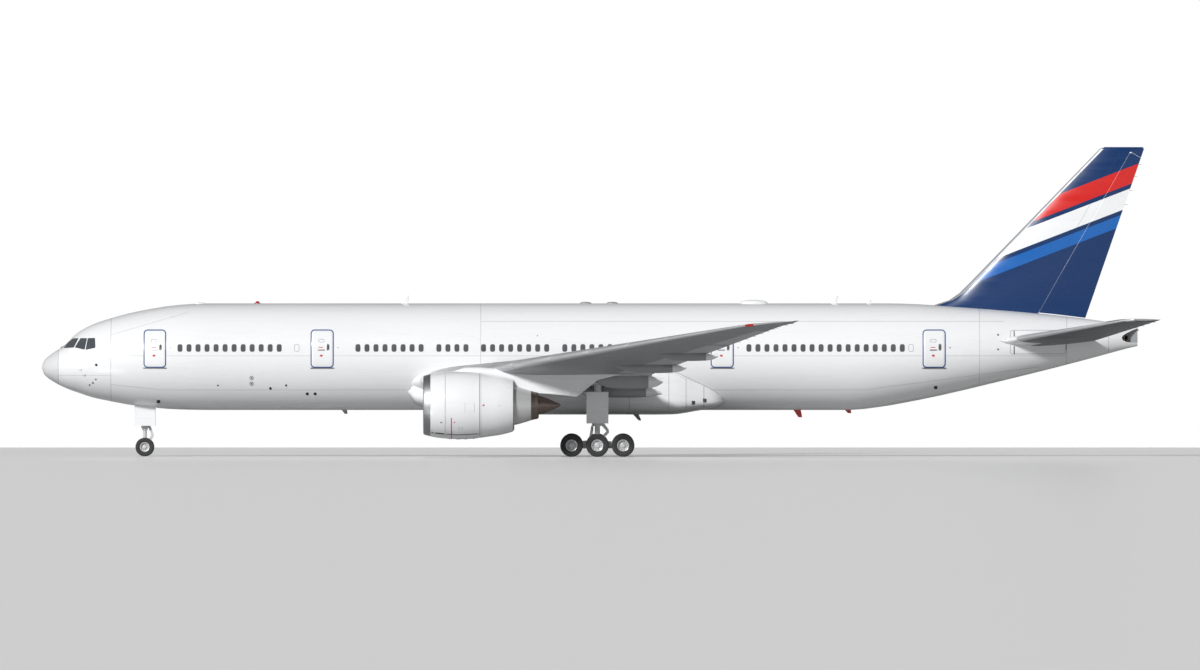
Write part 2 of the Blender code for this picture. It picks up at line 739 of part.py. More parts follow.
def hinge_frame(start, end):
    """The hinge line's direction, and the aft and upper directions square to it."""
    axis = (end - start).normalized()
    upper = ALONG.cross(axis).normalized()
    return axis, axis.cross(upper), upper


def section_behind_nose(radius, lips):
    """An outline round all that lies behind a round nose, whose skin starts a lip's width ahead."""
    upper_turn = math.acos(lips[0] / radius)
    lower_turn = math.acos(lips[1] / radius)
    outline = [(CUT_SLANT - lips[0], CUTTER_HEIGHT), (CUTTER_REACH, CUTTER_HEIGHT)]
    outline += [(CUTTER_REACH, -CUTTER_HEIGHT), (CUT_SLANT - lips[1], -CUTTER_HEIGHT)]
    for step in range(NOSE_ARC_STEPS + 1):
        turn = -lower_turn + (lower_turn + upper_turn) * step / NOSE_ARC_STEPS
        outline.append((-radius * math.cos(turn), radius * math.sin(turn)))
    return outline


def region_behind_hinge(frame, ends, lips):
    """A solid through sections, each given by its hinge point and nose radius."""
    _, aft, upper = frame
    rings = []
    for (centre, radius), end_lips in zip(ends, lips):
        section = section_behind_nose(radius, end_lips)
        rings.append([centre + aft * back + upper * rise for back, rise in section])
    return loft("region", rings)


def lip_widths(half, travel):
    """How far ahead of the hinge line the fixed skins end, above and below, so that the corner of the
    moving skin clears them at the end of its travel."""
    widths = []
    for degrees in travel:
        turn = math.radians(degrees)
        widths.append((half * (1 - math.cos(turn)) + SHUT) / math.sin(turn))
    return widths


def hinged_piece(name, whole, carriers, ends, travel, piece_trims=(), notch_trims=()):
    """Cuts a piece with a round nose off a whole surface, and its notch and pin sockets in its carriers.
    The ends, and any points between them, each come with half the surface's depth there."""
    start, start_half = ends[0]
    end, end_half = ends[-1]
    frame = hinge_frame(start, end)
    axis = frame[0]
    nose_ends = [(point, 0.98 * half) for point, half in ends]
    for index, neighbour, way in ((0, 1, 1), (-1, -2, -1)):
        part = SHUT / (ends[neighbour][0] - ends[index][0]).length
        half = ends[index][1] + (ends[neighbour][1] - ends[index][1]) * part
        nose_ends[index] = (ends[index][0] + axis * (way * SHUT), 0.98 * half)
    piece = region_behind_hinge(frame, nose_ends, [(0, 0)] * len(ends))
    keep_inside(piece, copy_of(whole))
    cut(piece, *piece_trims)
    around_arc = math.cos(math.pi / (2 * NOSE_ARC_STEPS))
    notch_ends = [(point, (0.98 * half + SHUT) / around_arc) for point, half in ends]
    lips = [lip_widths(half, travel) for _, half in ends]
    notch = region_behind_hinge(frame, notch_ends, lips)
    cut(notch, *notch_trims)
    cut(carriers[0], notch)
    pin_radius = min(HINGE_PIN_RADIUS, 0.5 * start_half, 0.5 * end_half)
    for point, way in ((start, -1), (end, 1)):
        root = point - axis * (way * HINGE_PIN_ROOT)
        tip = point + axis * (way * HINGE_PIN_REACH)
        hole_end = tip + axis * (way * SEAT)
        join(piece, rod(root, tip, pin_radius, 8))
        for carrier in carriers:
            cut(carrier, bore(root, hole_end, pin_radius, 8))
    pivots[name] = (start + end) / 2
    return renamed(piece, name)


def fixed_piece(name, whole, carrier, ends):
    """Cuts a piece that stays shut behind a straight cut, off a whole surface and out of its carrier."""
    (start, _), (end, _) = ends
    axis, aft, upper = hinge_frame(start, end)
    regions = []
    for front, side in ((0.0, SHUT), (-SEAT, 0.0)):
        rings = []
        for centre in (start + axis * side, end - axis * side):
            corners = [(front, CUTTER_HEIGHT), (CUTTER_REACH, CUTTER_HEIGHT)]
            corners += [(CUTTER_REACH, -CUTTER_HEIGHT), (front, -CUTTER_HEIGHT)]
            rings.append([centre + aft * back + upper * rise for back, rise in corners])
        regions.append(loft("region", rings))
    cut(carrier, regions[1])
    return renamed(keep_inside(regions[0], copy_of(whole)), name)


def wing_ends(limits):
    return [hinge_end(WING_LINES, span, fraction, WING_CAMBER) for span, fraction in limits]


def wing_underside(station, span):
    leading, trailing, thickness = edges_at(WING_LINES, span)
    chord = (trailing - leading).length
    fraction = (station - leading.x) / (trailing.x - leading.x)
    middle = leading.z + (trailing.z - leading.z) * fraction
    return middle + camber_height(fraction, WING_CAMBER, chord) - half_thickness(fraction, thickness, chord)


def track_fairing(span, first, last, bottom, half_width):
    """The canoe-shaped housing of a flap track, from under the wing to behind its trailing edge."""
    _, trailing, _ = edges_at(WING_LINES, span)
    rings = []
    for part, size in TRACK_SECTIONS:
        station = first + (last - first) * part
        if station < trailing.x - 0.5:
            top = wing_underside(station, span) + 0.12
        else:
            top = trailing.z - 0.06 - 0.2 * (station - trailing.x + 0.5)
        low = top - (top - bottom) * size
        ring = []
        for index in range(SMALL_ROUND_POINTS):
            turn = 2 * math.pi * index / SMALL_ROUND_POINTS
            breadth = half_width * (0.3 + 0.7 * size)
            height = (top + low) / 2 + (top - low) / 2 * math.cos(turn)
            ring.append((station, span + breadth * math.sin(turn), height))
        rings.append(ring)
    return loft("track_fairing", rings)


def wing_with_surfaces(whole_fuselage):
    whole = lifting_surface("whole_wing", WING_LINES, WING_CAMBER)
    wing = copy_of(whole, "right_wing")
    pieces = [
        fixed_piece("right_inboard_flap", whole, wing, wing_ends(INBOARD_FLAP)),
        fixed_piece("right_outboard_flap", whole, wing, wing_ends(OUTBOARD_FLAP)),
    ]
    for row in TRACK_FAIRINGS:
        join(wing, track_fairing(*row))
    for flap in pieces:
        cut(wing, swollen(flap, SEAT))
    pieces.append(
        hinged_piece("right_flaperon", whole, [wing], wing_ends(FLAPERON), FLAPERON_TRAVEL)
    )
    pieces.append(hinged_piece("right_aileron", whole, [wing], wing_ends(AILERON), AILERON_TRAVEL))
    cut(wing, swollen(whole_fuselage, SEAT))
    for stations, spans, ceiling in GEAR_BAYS:
        cut(wing, box("bay", stations, spans, (1.0, ceiling)))
    station, span = JACK_PAD_PLACE
    pad_foot = wing_underside(station, span) - JACK_PAD_DROP
    join(wing, rod((station, span, pad_foot), (station, span, pad_foot + 0.2), JACK_PAD_RADIUS))
    return whole, [wing, *pieces]


def tailplane(whole_fuselage):
    whole = lifting_surface("whole_stabiliser", STABILISER_LINES)
    stabiliser = copy_of(whole, "right_stabiliser")
    ends = [hinge_end(STABILISER_LINES, span, fraction) for span, fraction in ELEVATOR]
    elevator = hinged_piece("right_elevator", whole, [stabiliser], ends, ELEVATOR_TRAVEL)
    cut(stabiliser, swollen(whole_fuselage, SEAT))
    bpy.data.objects.remove(whole)
    return [stabiliser, elevator]


def fin_edges(height):
    _, lead_x, trail_x, thickness = straight_row(FIN_LINES, height)
    return Vector((lead_x, 0, height)), Vector((trail_x, 0, height)), thickness


def rudder_hinge(height):
    leading, trailing, thickness = fin_edges(height)
    station = RUDDER_HINGE_FOOT[0] + (height - RUDDER_HINGE_FOOT[1]) * RUDDER_HINGE_SLOPE
    chord = trailing.x - leading.x
    half = half_thickness((station - leading.x) / chord, thickness, chord)
    return Vector((station, 0, height)), half


def fin_and_rudder(fuselage, whole_fuselage):
    rings = [aerofoil_ring(*fin_edges(row[0]), ACROSS) for row in FIN_LINES]
    whole = loft("whole_fin", rings)
    fin = copy_of(whole, "fin")
    crown = []
    for station in RUDDER_FOOT_STATIONS:
        crown.append((station, float(smooth_row(FUSELAGE_LINES, station)[1]) + RUDDER_FOOT_GAP))
    foot = prism("foot", [(54, 4), *crown, (66, 7.3), (66, 4)], -3, 3, "Y")
    over_rudder = box("over", (50, 70), (-3, 3), (RUDDER_TOP, 20))
    over_notch = box("over", (50, 70), (-3, 3), (RUDDER_TOP + RUDDER_TOP_GAP, 20))
    ends = [rudder_hinge(height) for height in (*RUDDER_HINGE_HEIGHTS, RUDDER_TOP + RUDDER_TOP_GAP)]
    rudder = hinged_piece(
        "rudder", whole, [fin, fuselage], ends, RUDDER_TRAVEL, [foot, over_rudder], [over_notch]
    )
    cut(fin, swollen(whole_fuselage, SEAT))
    bpy.data.objects.remove(whole)
    return [fin, rudder]


def fairing(whole_fuselage, whole_wing):
    rings = []
    for station, half_width, middle, above, below in FAIRING_LINES:
        ring = []
        for index in range(FAIRING_POINTS):
            turn = 2 * math.pi * index / FAIRING_POINTS
            across = abs(math.sin(turn)) ** (2 / FAIRING_SQUARENESS)
            along = abs(math.cos(turn)) ** (2 / FAIRING_SQUARENESS)
            height = above if math.cos(turn) > 0 else -below
            span = math.copysign(half_width * across, math.sin(turn))
            ring.append((station, span, middle + height * along))
        rings.append(ring)
    body = loft("wing_body_fairing", rings)
    cut(body, swollen(whole_fuselage, SEAT))
    for wing in (copy_of(whole_wing), mirrored(whole_wing, "port_wing")):
        cut(body, swollen(wing, SEAT))
        bpy.data.objects.remove(wing)
    return body


# Engines

ENGINE_CENTRE = Vector((0, ENGINE_SPAN, ENGINE_HEIGHT))


def on_engine(station, radius, degrees):
    """A point at an angle round the engine's axis, 0 at the top and 90 outboard."""
    turn = math.radians(degrees)
    return Vector((station, ENGINE_SPAN + radius * math.sin(turn), ENGINE_HEIGHT + radius * math.cos(turn)))


def fan_cowl():
    """The fixed cowl round the fan, with the rods that its reverser sleeve slides on."""
    cowl = turned("right_fan_cowl", COWL_PROFILE, ENGINE_CENTRE, ALONG, COWL_SEGMENTS)
    for degrees in GUIDE_ROD_ANGLES:
        start = on_engine(COWL_END - 0.2, GUIDE_ROD_CIRCLE, degrees)
        end = on_engine(GUIDE_ROD_END, GUIDE_ROD_CIRCLE, degrees)
        join(cowl, rod(start, end, GUIDE_ROD_RADIUS, 8))
    return cowl


def reverser_sleeve():
    sleeve = turned("right_reverser_sleeve", SLEEVE_PROFILE, ENGINE_CENTRE, ALONG, COWL_SEGMENTS)
    spans = (ENGINE_SPAN - SLEEVE_SLOT, ENGINE_SPAN + SLEEVE_SLOT)
    cut(sleeve, box("slot", (24.5, 28), spans, (ENGINE_HEIGHT + 1, ENGINE_HEIGHT + 3)))
    for degrees in GUIDE_ROD_ANGLES:
        start = on_engine(SLEEVE_START - 0.2, GUIDE_ROD_CIRCLE, degrees)
        end = on_engine(GUIDE_ROD_END + SHUT, GUIDE_ROD_CIRCLE, degrees)
        cut(sleeve, bore(start, end, GUIDE_ROD_RADIUS, 8))
    pivots[sleeve.name] = on_engine(SLEEVE_START, 0, 0)
    return sleeve


def engine_core():
    """The core's housing with its nozzle and plug, and the struts that reach out to the fan cowl."""
    core = turned("right_engine_core", CORE_PROFILE, ENGINE_CENTRE, ALONG, CORE_SEGMENTS)
    reach = COWL_BORE * math.cos(math.pi / COWL_SEGMENTS) - 2 * SEAT
    for index in range(STRUT_COUNT):
        strut = box(
            "strut",
            STRUT_STATIONS,
            (-STRUT_HALF_THICKNESS, STRUT_HALF_THICKNESS),
            (STRUT_INNER_RADIUS, reach),
        )
        turn = Matrix.Rotation(2 * math.pi * (index + 0.5) / STRUT_COUNT, 4, "X")
        strut.data.transform(Matrix.Translation(ENGINE_CENTRE) @ turn)
        join(core, strut)
    start = on_engine(CORE_FRONT - 0.2, 0, 0)
    end = on_engine(FAN_SHAFT_END + 0.02, 0, 0)
    return cut(core, bore(start, end, FAN_SHAFT_RADIUS, ROUND_POINTS))


def fan_blade():
    """A twisted blade that points up from the fan's axis."""
    rings = []
    for radius, degrees in ((BLADE_ROOT, BLADE_ROOT_TWIST), (BLADE_TIP, BLADE_TIP_TWIST)):
        half_length = (BLADE_STATIONS[1] - BLADE_STATIONS[0]) / 2
        middle = sum(BLADE_STATIONS) / 2
        slant = half_length * math.tan(math.radians(degrees)) * BLADE_SLANT
        ring = []
        for back, side in ((-1, -1), (1, -1), (1, 1), (-1, 1)):
            across = back * slant + side * BLADE_THICKNESS / 2
            ring.append((middle + back * half_length, across, radius))
        rings.append(ring)
    return loft("blade", rings)


def fan():
    wheel = turned("right_fan", FAN_PROFILE, ENGINE_CENTRE, ALONG, ROUND_POINTS)
    for index in range(BLADE_COUNT):
        blade = fan_blade()
        turn = Matrix.Rotation(2 * math.pi * index / BLADE_COUNT, 4, "X")
        blade.data.transform(Matrix.Translation(ENGINE_CENTRE) @ turn)
        join(wheel, blade)
    pivots[wheel.name] = on_engine(sum(BLADE_STATIONS) / 2, 0, 0)
    return wheel


def pylon(whole_wing, core):
    rings = []
    for station, low, high, half_width in PYLON_LINES:
        shoulder = high - min(0.25, 0.5 * (high - low))
        crest = high - min(0.06, 0.15 * (high - low))
        section = (
            (0, high), (0.55, crest), (1, shoulder), (1, low), (-1, low), (-1, shoulder), (-0.55, crest)
        )
        rings.append([(station, ENGINE_SPAN + half_width * side, height) for side, height in section])
    body = loft("right_pylon", rings)
    cut(body, swollen(whole_wing, SEAT))
    front, middle, back = [(station, radius + SEAT) for station, radius in COWL_PROFILE[:3]]
    ahead = COWL_START - 0.5
    behind = COWL_END + SEAT
    outer = [(ahead, 0.0), (ahead, front[1]), front, middle, (behind, back[1]), (behind, 0.0)]
    cut(body, turned("cowl_outside", outer, ENGINE_CENTRE, ALONG, COWL_SEGMENTS))
    return cut(body, swollen(core, SEAT))


def engine(whole_wing):
    inlet = turned("right_inlet_cowl", INLET_PROFILE, ENGINE_CENTRE, ALONG, COWL_SEGMENTS)
    core = engine_core()
    return [inlet, fan_cowl(), reverser_sleeve(), core, fan(), pylon(whole_wing, core)]


# Landing gear

def wheel_pair(name, profile, station, span, radius):
    """Two tyred wheels on one axle. A flat of each tyre lies on the ground."""
    axle_height = radius * math.cos(math.pi / WHEEL_SEGMENTS)
    whole = [(-place, size) for place, size in reversed(profile)] + list(profile)
    centre = Vector((station, span, axle_height))
    wheels = turned(name, whole, centre, ACROSS, WHEEL_SEGMENTS)
    pivots[name] = centre
    return wheels


def collared_cylinder(centre, low, high, radius, collar):
    """A shock strut's outer cylinder, with a collar that its braces meet: low, high and radius."""
    profile = [(low, 0.0), (low, radius), (collar[0], radius), (collar[0], collar[2])]
    profile += [(collar[1], collar[2]), (collar[1], radius), (high, radius), (high, 0.0)]
    return turned("leg", profile, Vector(centre), UP, ROUND_POINTS)


def nose_gear(fuselage):
    station = NOSE_GEAR_STATION
    well_stations, well_half_width, ceiling = NOSE_WELL
    well = box("well", well_stations, (-well_half_width, well_half_width), (1.0, ceiling))
    cut(fuselage, well)
    wheels = wheel_pair("nose_wheels", NOSE_WHEEL_PROFILE, station, 0, NOSE_TYRE_RADIUS)
    axle = pivots["nose_wheels"]

    top = ceiling - SEAT
    leg = collared_cylinder((station, 0, 0), NOSE_LEG_FOOT, top, NOSE_LEG_RADIUS, NOSE_LEG_COLLAR)
    foot_stations = [well_stations[0] + back for back in NOSE_BRACE_FOOT]
    low_span, high_span = NOSE_BRACE_SPANS
    low_height, high_height = NOSE_BRACE_HEIGHTS
    for side in (-1, 1):
        brace_foot = (sum(foot_stations) / 2, side * high_span, high_height)
        join(leg, rod((station, side * low_span, low_height), brace_foot, NOSE_BRACE_RADIUS, 8))
        spans = (brace_foot[1] - 0.07, brace_foot[1] + 0.07)
        join(leg, box("foot", foot_stations, spans, (NOSE_BRACE_FOOT_BOTTOM, top)))
    bore_foot = (station, 0, NOSE_LEG_FOOT - 0.1)
    cut(leg, bore(bore_foot, (station, 0, NOSE_PISTON_TOP + SHUT), NOSE_PISTON_RADIUS, ROUND_POINTS))

    fork = rod((station, 0, axle.z), (station, 0, NOSE_PISTON_TOP), NOSE_PISTON_RADIUS, ROUND_POINTS)
    half_width, housing_radius = NOSE_HOUSING
    housing_ends = ((station, -half_width, axle.z), (station, half_width, axle.z))
    join(fork, rod(*housing_ends, housing_radius))
    low, high, collar_radius = NOSE_COLLAR
    collar = rod((station, 0, low), (station, 0, high), collar_radius, ROUND_POINTS)
    cut(collar, bore((station, 0, low - 0.1), (station, 0, high + 0.1), NOSE_LEG_RADIUS, ROUND_POINTS))
    outline = [(station + back, height) for back, height in NOSE_LINKS]
    links = prism("links", outline, -NOSE_LINKS_HALF_WIDTH, NOSE_LINKS_HALF_WIDTH, "Y")
    join(links, collar)
    join(fork, links)
    tow_stations, tow_half_width, tow_heights = TOW_FITTING
    join(fork, box("tow", tow_stations, (-tow_half_width, tow_half_width), tow_heights))
    cut(fork, bore((station, -0.4, axle.z), (station, 0.4, axle.z), NOSE_AXLE_RADIUS, WHEEL_SEGMENTS))
    pivots["nose_fork"] = Vector((station, 0, axle.z))

    outer = well_half_width - SEAT
    spans = (outer - NOSE_DOOR_THICKNESS, outer)
    door = box("right_nose_gear_door", NOSE_DOOR_STATIONS, spans, NOSE_DOOR_HEIGHTS)
    twin = mirrored(door, "left_nose_gear_door")
    return [renamed(leg, "nose_leg"), renamed(fork, "nose_fork"), wheels, door, twin]


def bogie_beam(axle_height):
    """The truck's beam, open at its aft end in a clevis for the steered axle's knuckle."""
    front = MAIN_GEAR_STATION - AXLE_PITCH - BEAM_NOSE
    aft_axle = MAIN_GEAR_STATION + AXLE_PITCH
    beam_end = aft_axle - CLEVIS_BACK
    spans = (MAIN_GEAR_SPAN - BEAM_HALF_WIDTH, MAIN_GEAR_SPAN + BEAM_HALF_WIDTH)
    low = axle_height - BEAM_HALF_HEIGHT
    high = axle_height + BEAM_HALF_HEIGHT
    clevis_low = axle_height - CLEVIS_OUTER
    clevis_high = axle_height + CLEVIS_OUTER
    outline = [(front, low + 0.06), (front + 0.1, low), (beam_end - 0.25, low)]
    outline += [(beam_end - 0.1, clevis_low)]
    clevis_end = aft_axle + CLEVIS_HALF_WIDTH
    outline += [(clevis_end, clevis_low), (clevis_end, clevis_high)]
    outline += [(beam_end - 0.1, clevis_high), (beam_end - 0.25, high)]
    outline.append((MAIN_GEAR_STATION, high + BEAM_HUMP))
    outline += [(front + 0.3, high), (front, high - 0.06)]
    beam = prism("beam", outline, *spans, "Y")
    mouth = (axle_height - CLEVIS_INNER, axle_height + CLEVIS_INNER)
    return cut(beam, box("mouth", (beam_end, aft_axle + 1), (spans[0] - 1, spans[1] + 1), mouth))


def aft_axle_knuckle(station, axle_height, leg):
    """The knuckle that steers the truck's aft axle, on a vertical pin in the beam's clevis."""
    half_length, half_width, half_height = KNUCKLE_HALF
    knuckle = box(
        "right_aft_axle",
        (station - half_length, station + half_length),
        (MAIN_GEAR_SPAN - half_width, MAIN_GEAR_SPAN + half_width),
        (axle_height - half_height, axle_height + half_height),
    )
    pin_ends = [(station, MAIN_GEAR_SPAN, axle_height + way * KNUCKLE_PIN_REACH) for way in (-1, 1)]
    join(knuckle, rod(*pin_ends, KNUCKLE_PIN_RADIUS))
    hole_reach = KNUCKLE_PIN_REACH + SEAT
    hole_ends = [(station, MAIN_GEAR_SPAN, axle_height + way * hole_reach) for way in (-1, 1)]
    cut(leg, bore(*hole_ends, KNUCKLE_PIN_RADIUS))
    axle_ends = [(station, MAIN_GEAR_SPAN + way, axle_height) for way in (-1, 1)]
    cut(knuckle, bore(*axle_ends, MAIN_AXLE_RADIUS, WHEEL_SEGMENTS))
    pivots["right_aft_axle"] = Vector((station, MAIN_GEAR_SPAN, axle_height))
    return knuckle


def main_leg(axle_height):
    """The shock strut with its truck beam, braces and torque links."""
    station = MAIN_GEAR_STATION
    span = MAIN_GEAR_SPAN
    top = MAIN_LEG_TOP - SEAT
    leg = collared_cylinder((station, span, 0), MAIN_LEG_FOOT, top, MAIN_LEG_RADIUS, MAIN_LEG_COLLAR)
    piston_ends = ((station, span, axle_height), (station, span, MAIN_PISTON_TOP))
    join(leg, rod(*piston_ends, MAIN_PISTON_RADIUS, ROUND_POINTS))
    join(leg, bogie_beam(axle_height))
    braces = ((DRAG_BRACE, DRAG_BRACE_FOOT, top), (SIDE_BRACE, SIDE_BRACE_FOOT, GEAR_BAYS[1][2] - SEAT))
    for ends, (stations, spans, bottom), ceiling in braces:
        join(leg, rod(*ends, MAIN_BRACE_RADIUS, 8))
        join(leg, box("foot", stations, spans, (bottom, ceiling)))
    outline = [(station + back, height) for back, height in MAIN_LINKS]
    sides = (span - MAIN_LINKS_HALF_WIDTH, span + MAIN_LINKS_HALF_WIDTH)
    return join(leg, prism("links", outline, *sides, "Y"))


def leg_door(leg):
    """The panel that hangs outboard of the leg, on two lugs."""
    spans = [MAIN_GEAR_SPAN + offset for offset in LEG_DOOR_OFFSET]
    door = box("right_leg_door", LEG_DOOR_STATIONS, spans, LEG_DOOR_HEIGHTS)
    half_length, half_height = LEG_DOOR_LUG_HALF
    lug_spans = (MAIN_GEAR_SPAN + LEG_DOOR_LUG_REACH, spans[0] + 0.02)
    lug_stations = (MAIN_GEAR_STATION - half_length, MAIN_GEAR_STATION + half_length)
    for height in LEG_DOOR_LUG_HEIGHTS:
        join(door, box("lug", lug_stations, lug_spans, (height - half_height, height + half_height)))
    return cut(door, swollen(leg, SEAT))


def main_gear():
    axle_height = MAIN_TYRE_RADIUS * math.cos(math.pi / WHEEL_SEGMENTS)
    wheels = []
    for name, pitch in (("front", -AXLE_PITCH), ("middle", 0.0), ("aft", AXLE_PITCH)):
        pair_name = f"right_{name}_wheels"
        station = MAIN_GEAR_STATION + pitch
        place = (station, MAIN_GEAR_SPAN, MAIN_TYRE_RADIUS)
        wheels.append(wheel_pair(pair_name, MAIN_WHEEL_PROFILE, *place))
    leg = renamed(main_leg(axle_height), "right_main_leg")
    door = leg_door(leg)
    for pitch in (-AXLE_PITCH, 0.0):
        station = MAIN_GEAR_STATION + pitch
        ends = [(station, MAIN_GEAR_SPAN + way, axle_height) for way in (-1, 1)]
        cut(leg, bore(*ends, MAIN_AXLE_RADIUS, WHEEL_SEGMENTS))
    knuckle = aft_axle_knuckle(MAIN_GEAR_STATION + AXLE_PITCH, axle_height, leg)
    return [leg, door, knuckle, *wheels]


# Finishes and the model's own size

def finish_for(name):
    kind = name.removeprefix("left_").removeprefix("right_")
    for finish, kinds in PIECE_FINISHES.items():
        if kind in kinds:
            return finish
    return "white_paint"


def material_of(name):
    known = bpy.data.materials.get(name)
    if known:
        return known
    colour, roughness, metallic = FINISHES[name]
    material = bpy.data.materials.new(name)
    material.use_nodes = True
    shader = material.node_tree.nodes["Principled BSDF"]
    shader.inputs["Base Color"].default_value = (*colour, 1.0)
    shader.inputs["Roughness"].default_value = roughness
    shader.inputs["Metallic"].default_value = metallic
    return material


def bring_to_model_size(pieces):
    """Halves each piece about the ground below the aircraft's middle, and sets origins on the joints."""
    to_model = Matrix.Scale(SCALE, 4) @ Matrix.Translation((-LENGTH / 2, 0, 0))
    for piece in pieces:
        piece.data.transform(to_model)
        origin = to_model @ pivots.get(piece.name, Vector((LENGTH / 2, 0, 0)))
        piece.data.transform(Matrix.Translation(-origin))
        piece.location = origin
        piece.data.materials.clear()
        piece.data.materials.append(material_of(finish_for(piece.name)))
        piece.data.set_sharp_from_angle(angle=math.radians(30))


def model():
    for obj in list(bpy.data.objects):
        bpy.data.objects.remove(obj)
    whole_fuselage = fuselage_part("whole_fuselage", NOSE_END, TAIL_END)
    fuselage = fuselage_part("fuselage", RADOME_SPLIT, CONE_SPLIT)
    radome = fuselage_part("radome", NOSE_END, RADOME_SPLIT - SEAT)
    middle_pieces = [fuselage, radome, tail_cone(), glazing(fuselage), *cabin_doors(fuselage)]
    for name, stations in CARGO_DOORS.items():
        middle_pieces.append(cargo_door(name, stations, fuselage))
    middle_pieces += fin_and_rudder(fuselage, whole_fuselage)
    middle_pieces += nose_gear(fuselage)
    whole_wing, starboard = wing_with_surfaces(whole_fuselage)
    middle_pieces.append(fairing(whole_fuselage, whole_wing))
    starboard += tailplane(whole_fuselage)
    starboard += engine(whole_wing)
    starboard += main_gear()
    port = [mirrored(piece, piece.name.replace("right_", "left_")) for piece in starboard]
    bpy.data.objects.remove(whole_fuselage)
    bpy.data.objects.remove(whole_wing)
    bring_to_model_size(middle_pieces + starboard + port)


model()
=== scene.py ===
"""The looks of the wide body airliner scale model.

Shapes are made in metres of the full-size aircraft: stations run aft from the nose tip (X), spans run to
starboard (Y) and heights run up from the ground (Z). settle() then halves each piece, moves it to the
frame's origin and puts it on its body. Port pieces are the starboard pieces' mirror images.
"""

import json
import math

import bmesh
import bpy
import numpy as np
from mathutils import Matrix
from mathutils import Vector

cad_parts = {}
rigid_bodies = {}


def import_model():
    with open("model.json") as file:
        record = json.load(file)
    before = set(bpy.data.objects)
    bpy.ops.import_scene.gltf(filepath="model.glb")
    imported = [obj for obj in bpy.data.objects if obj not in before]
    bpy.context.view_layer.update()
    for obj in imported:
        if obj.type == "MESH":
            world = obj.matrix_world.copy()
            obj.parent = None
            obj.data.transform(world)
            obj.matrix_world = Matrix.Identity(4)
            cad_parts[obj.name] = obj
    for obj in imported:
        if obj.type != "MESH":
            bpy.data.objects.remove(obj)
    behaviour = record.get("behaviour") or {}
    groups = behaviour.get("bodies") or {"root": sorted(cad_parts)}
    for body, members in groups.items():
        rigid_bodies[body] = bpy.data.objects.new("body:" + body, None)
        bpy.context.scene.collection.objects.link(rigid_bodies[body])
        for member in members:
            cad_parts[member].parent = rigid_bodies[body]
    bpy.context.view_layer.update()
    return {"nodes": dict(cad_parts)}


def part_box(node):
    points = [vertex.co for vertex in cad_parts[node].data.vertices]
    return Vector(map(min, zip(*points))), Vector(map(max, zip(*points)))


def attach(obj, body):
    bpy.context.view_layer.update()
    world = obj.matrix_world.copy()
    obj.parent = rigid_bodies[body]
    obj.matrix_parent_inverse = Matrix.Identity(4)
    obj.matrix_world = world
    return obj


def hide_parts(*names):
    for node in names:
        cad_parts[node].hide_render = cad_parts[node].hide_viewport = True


for leftover in list(bpy.data.objects):
    bpy.data.objects.remove(leftover)
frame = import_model()

SCALE = 0.5
LENGTH = 63.77
ALONG = Vector((1, 0, 0))
ACROSS = Vector((0, 1, 0))
UP = Vector((0, 0, 1))
TO_MODEL = Matrix.Scale(SCALE, 4) @ Matrix.Translation((-LENGTH / 2, 0, 0))
SHUT = 0.012
STRIP_DEPTH = 0.01
# Fuselage: station, crown height, keel height, height of the widest line, half width
FUSELAGE_LINES = (
    (0.00, 5.14, 5.04, 5.09, 0.05),
    (0.11, 5.46, 4.72, 5.09, 0.42),
    (0.34, 5.69, 4.49, 5.09, 0.74),
    (0.80, 6.03, 4.19, 5.10, 1.16),
    (1.13, 6.23, 4.01, 5.11, 1.38),
    (1.36, 6.39, 3.91, 5.12, 1.52),
    (1.62, 6.69, 3.80, 5.14, 1.66),
    (2.06, 7.08, 3.65, 5.18, 1.84),
    (2.86, 7.52, 3.38, 5.26, 2.13),
    (3.78, 7.85, 3.18, 5.36, 2.39),
    (5.61, 8.32, 2.86, 5.53, 2.75),
    (7.90, 8.67, 2.68, 5.67, 2.98),
    (9.50, 8.75, 2.65, 5.70, 3.05),
    (46.2, 8.75, 2.65, 5.70, 3.05),
    (47.9, 8.75, 2.82, 5.75, 3.02),
    (49.1, 8.74, 3.02, 5.80, 2.95),
    (51.4, 8.62, 3.48, 5.95, 2.74),
    (54.2, 8.43, 4.14, 6.20, 2.32),
    (58.2, 8.05, 5.13, 6.55, 1.50),
    (60.5, 7.76, 5.74, 6.75, 0.95),
    (62.0, 7.50, 6.15, 6.85, 0.50),
    (62.67, 7.39, 6.31, 6.86, 0.22),
)
BARREL_RADIUS = 3.05
BARREL_HEIGHT = 5.70
SKIN_POINTS = 128
RADOME_SPLIT = 0.96
CONE_SPLIT = 61.0
TAIL_END = 62.67
# What lies within this part of the skin's radius is a wall of a pocket or well
INSIDE_PART = 0.985
SKIN_STATIONS = (
    0.0, 0.03, 0.07, 0.11, 0.17, 0.25, 0.34, 0.47, 0.62, 0.80, 0.96, 1.04, 1.13, 1.24, 1.36, 1.49, 1.62,
    1.73, 1.84, 1.95, 2.06, 2.2, 2.35, 2.5, 2.68, 2.86, 3.07, 3.3, 3.78, 4.3, 4.9, 5.61, 6.3, 7.1, 7.9,
    8.7, 9.5, 18.0, 27.0, 36.0, 46.2, 47.0, 47.9, 48.5, 49.1, 50.2, 51.4, 52.8, 54.2, 55.5, 56.8, 58.2,
    59.4, 60.5, 61.0, 61.5, 62.0, 62.35, 62.67,
)
# The auxiliary power unit's exhaust: its recess from the side, and its pipe's two ends
EXHAUST_RECESS = (
    (61.76, 6.78), (61.82, 6.64), (62.00, 6.55), (62.25, 6.51), (63.50, 6.49),
    (63.50, 7.36), (62.70, 7.34), (62.30, 7.18), (61.95, 7.00), (61.80, 6.88),
)
EXHAUST_RECESS_SPANS = (-1.0, -0.02)
EXHAUST_PIPE = (Vector((61.62, 0.06, 6.77)), Vector((62.02, -0.36, 6.77)))

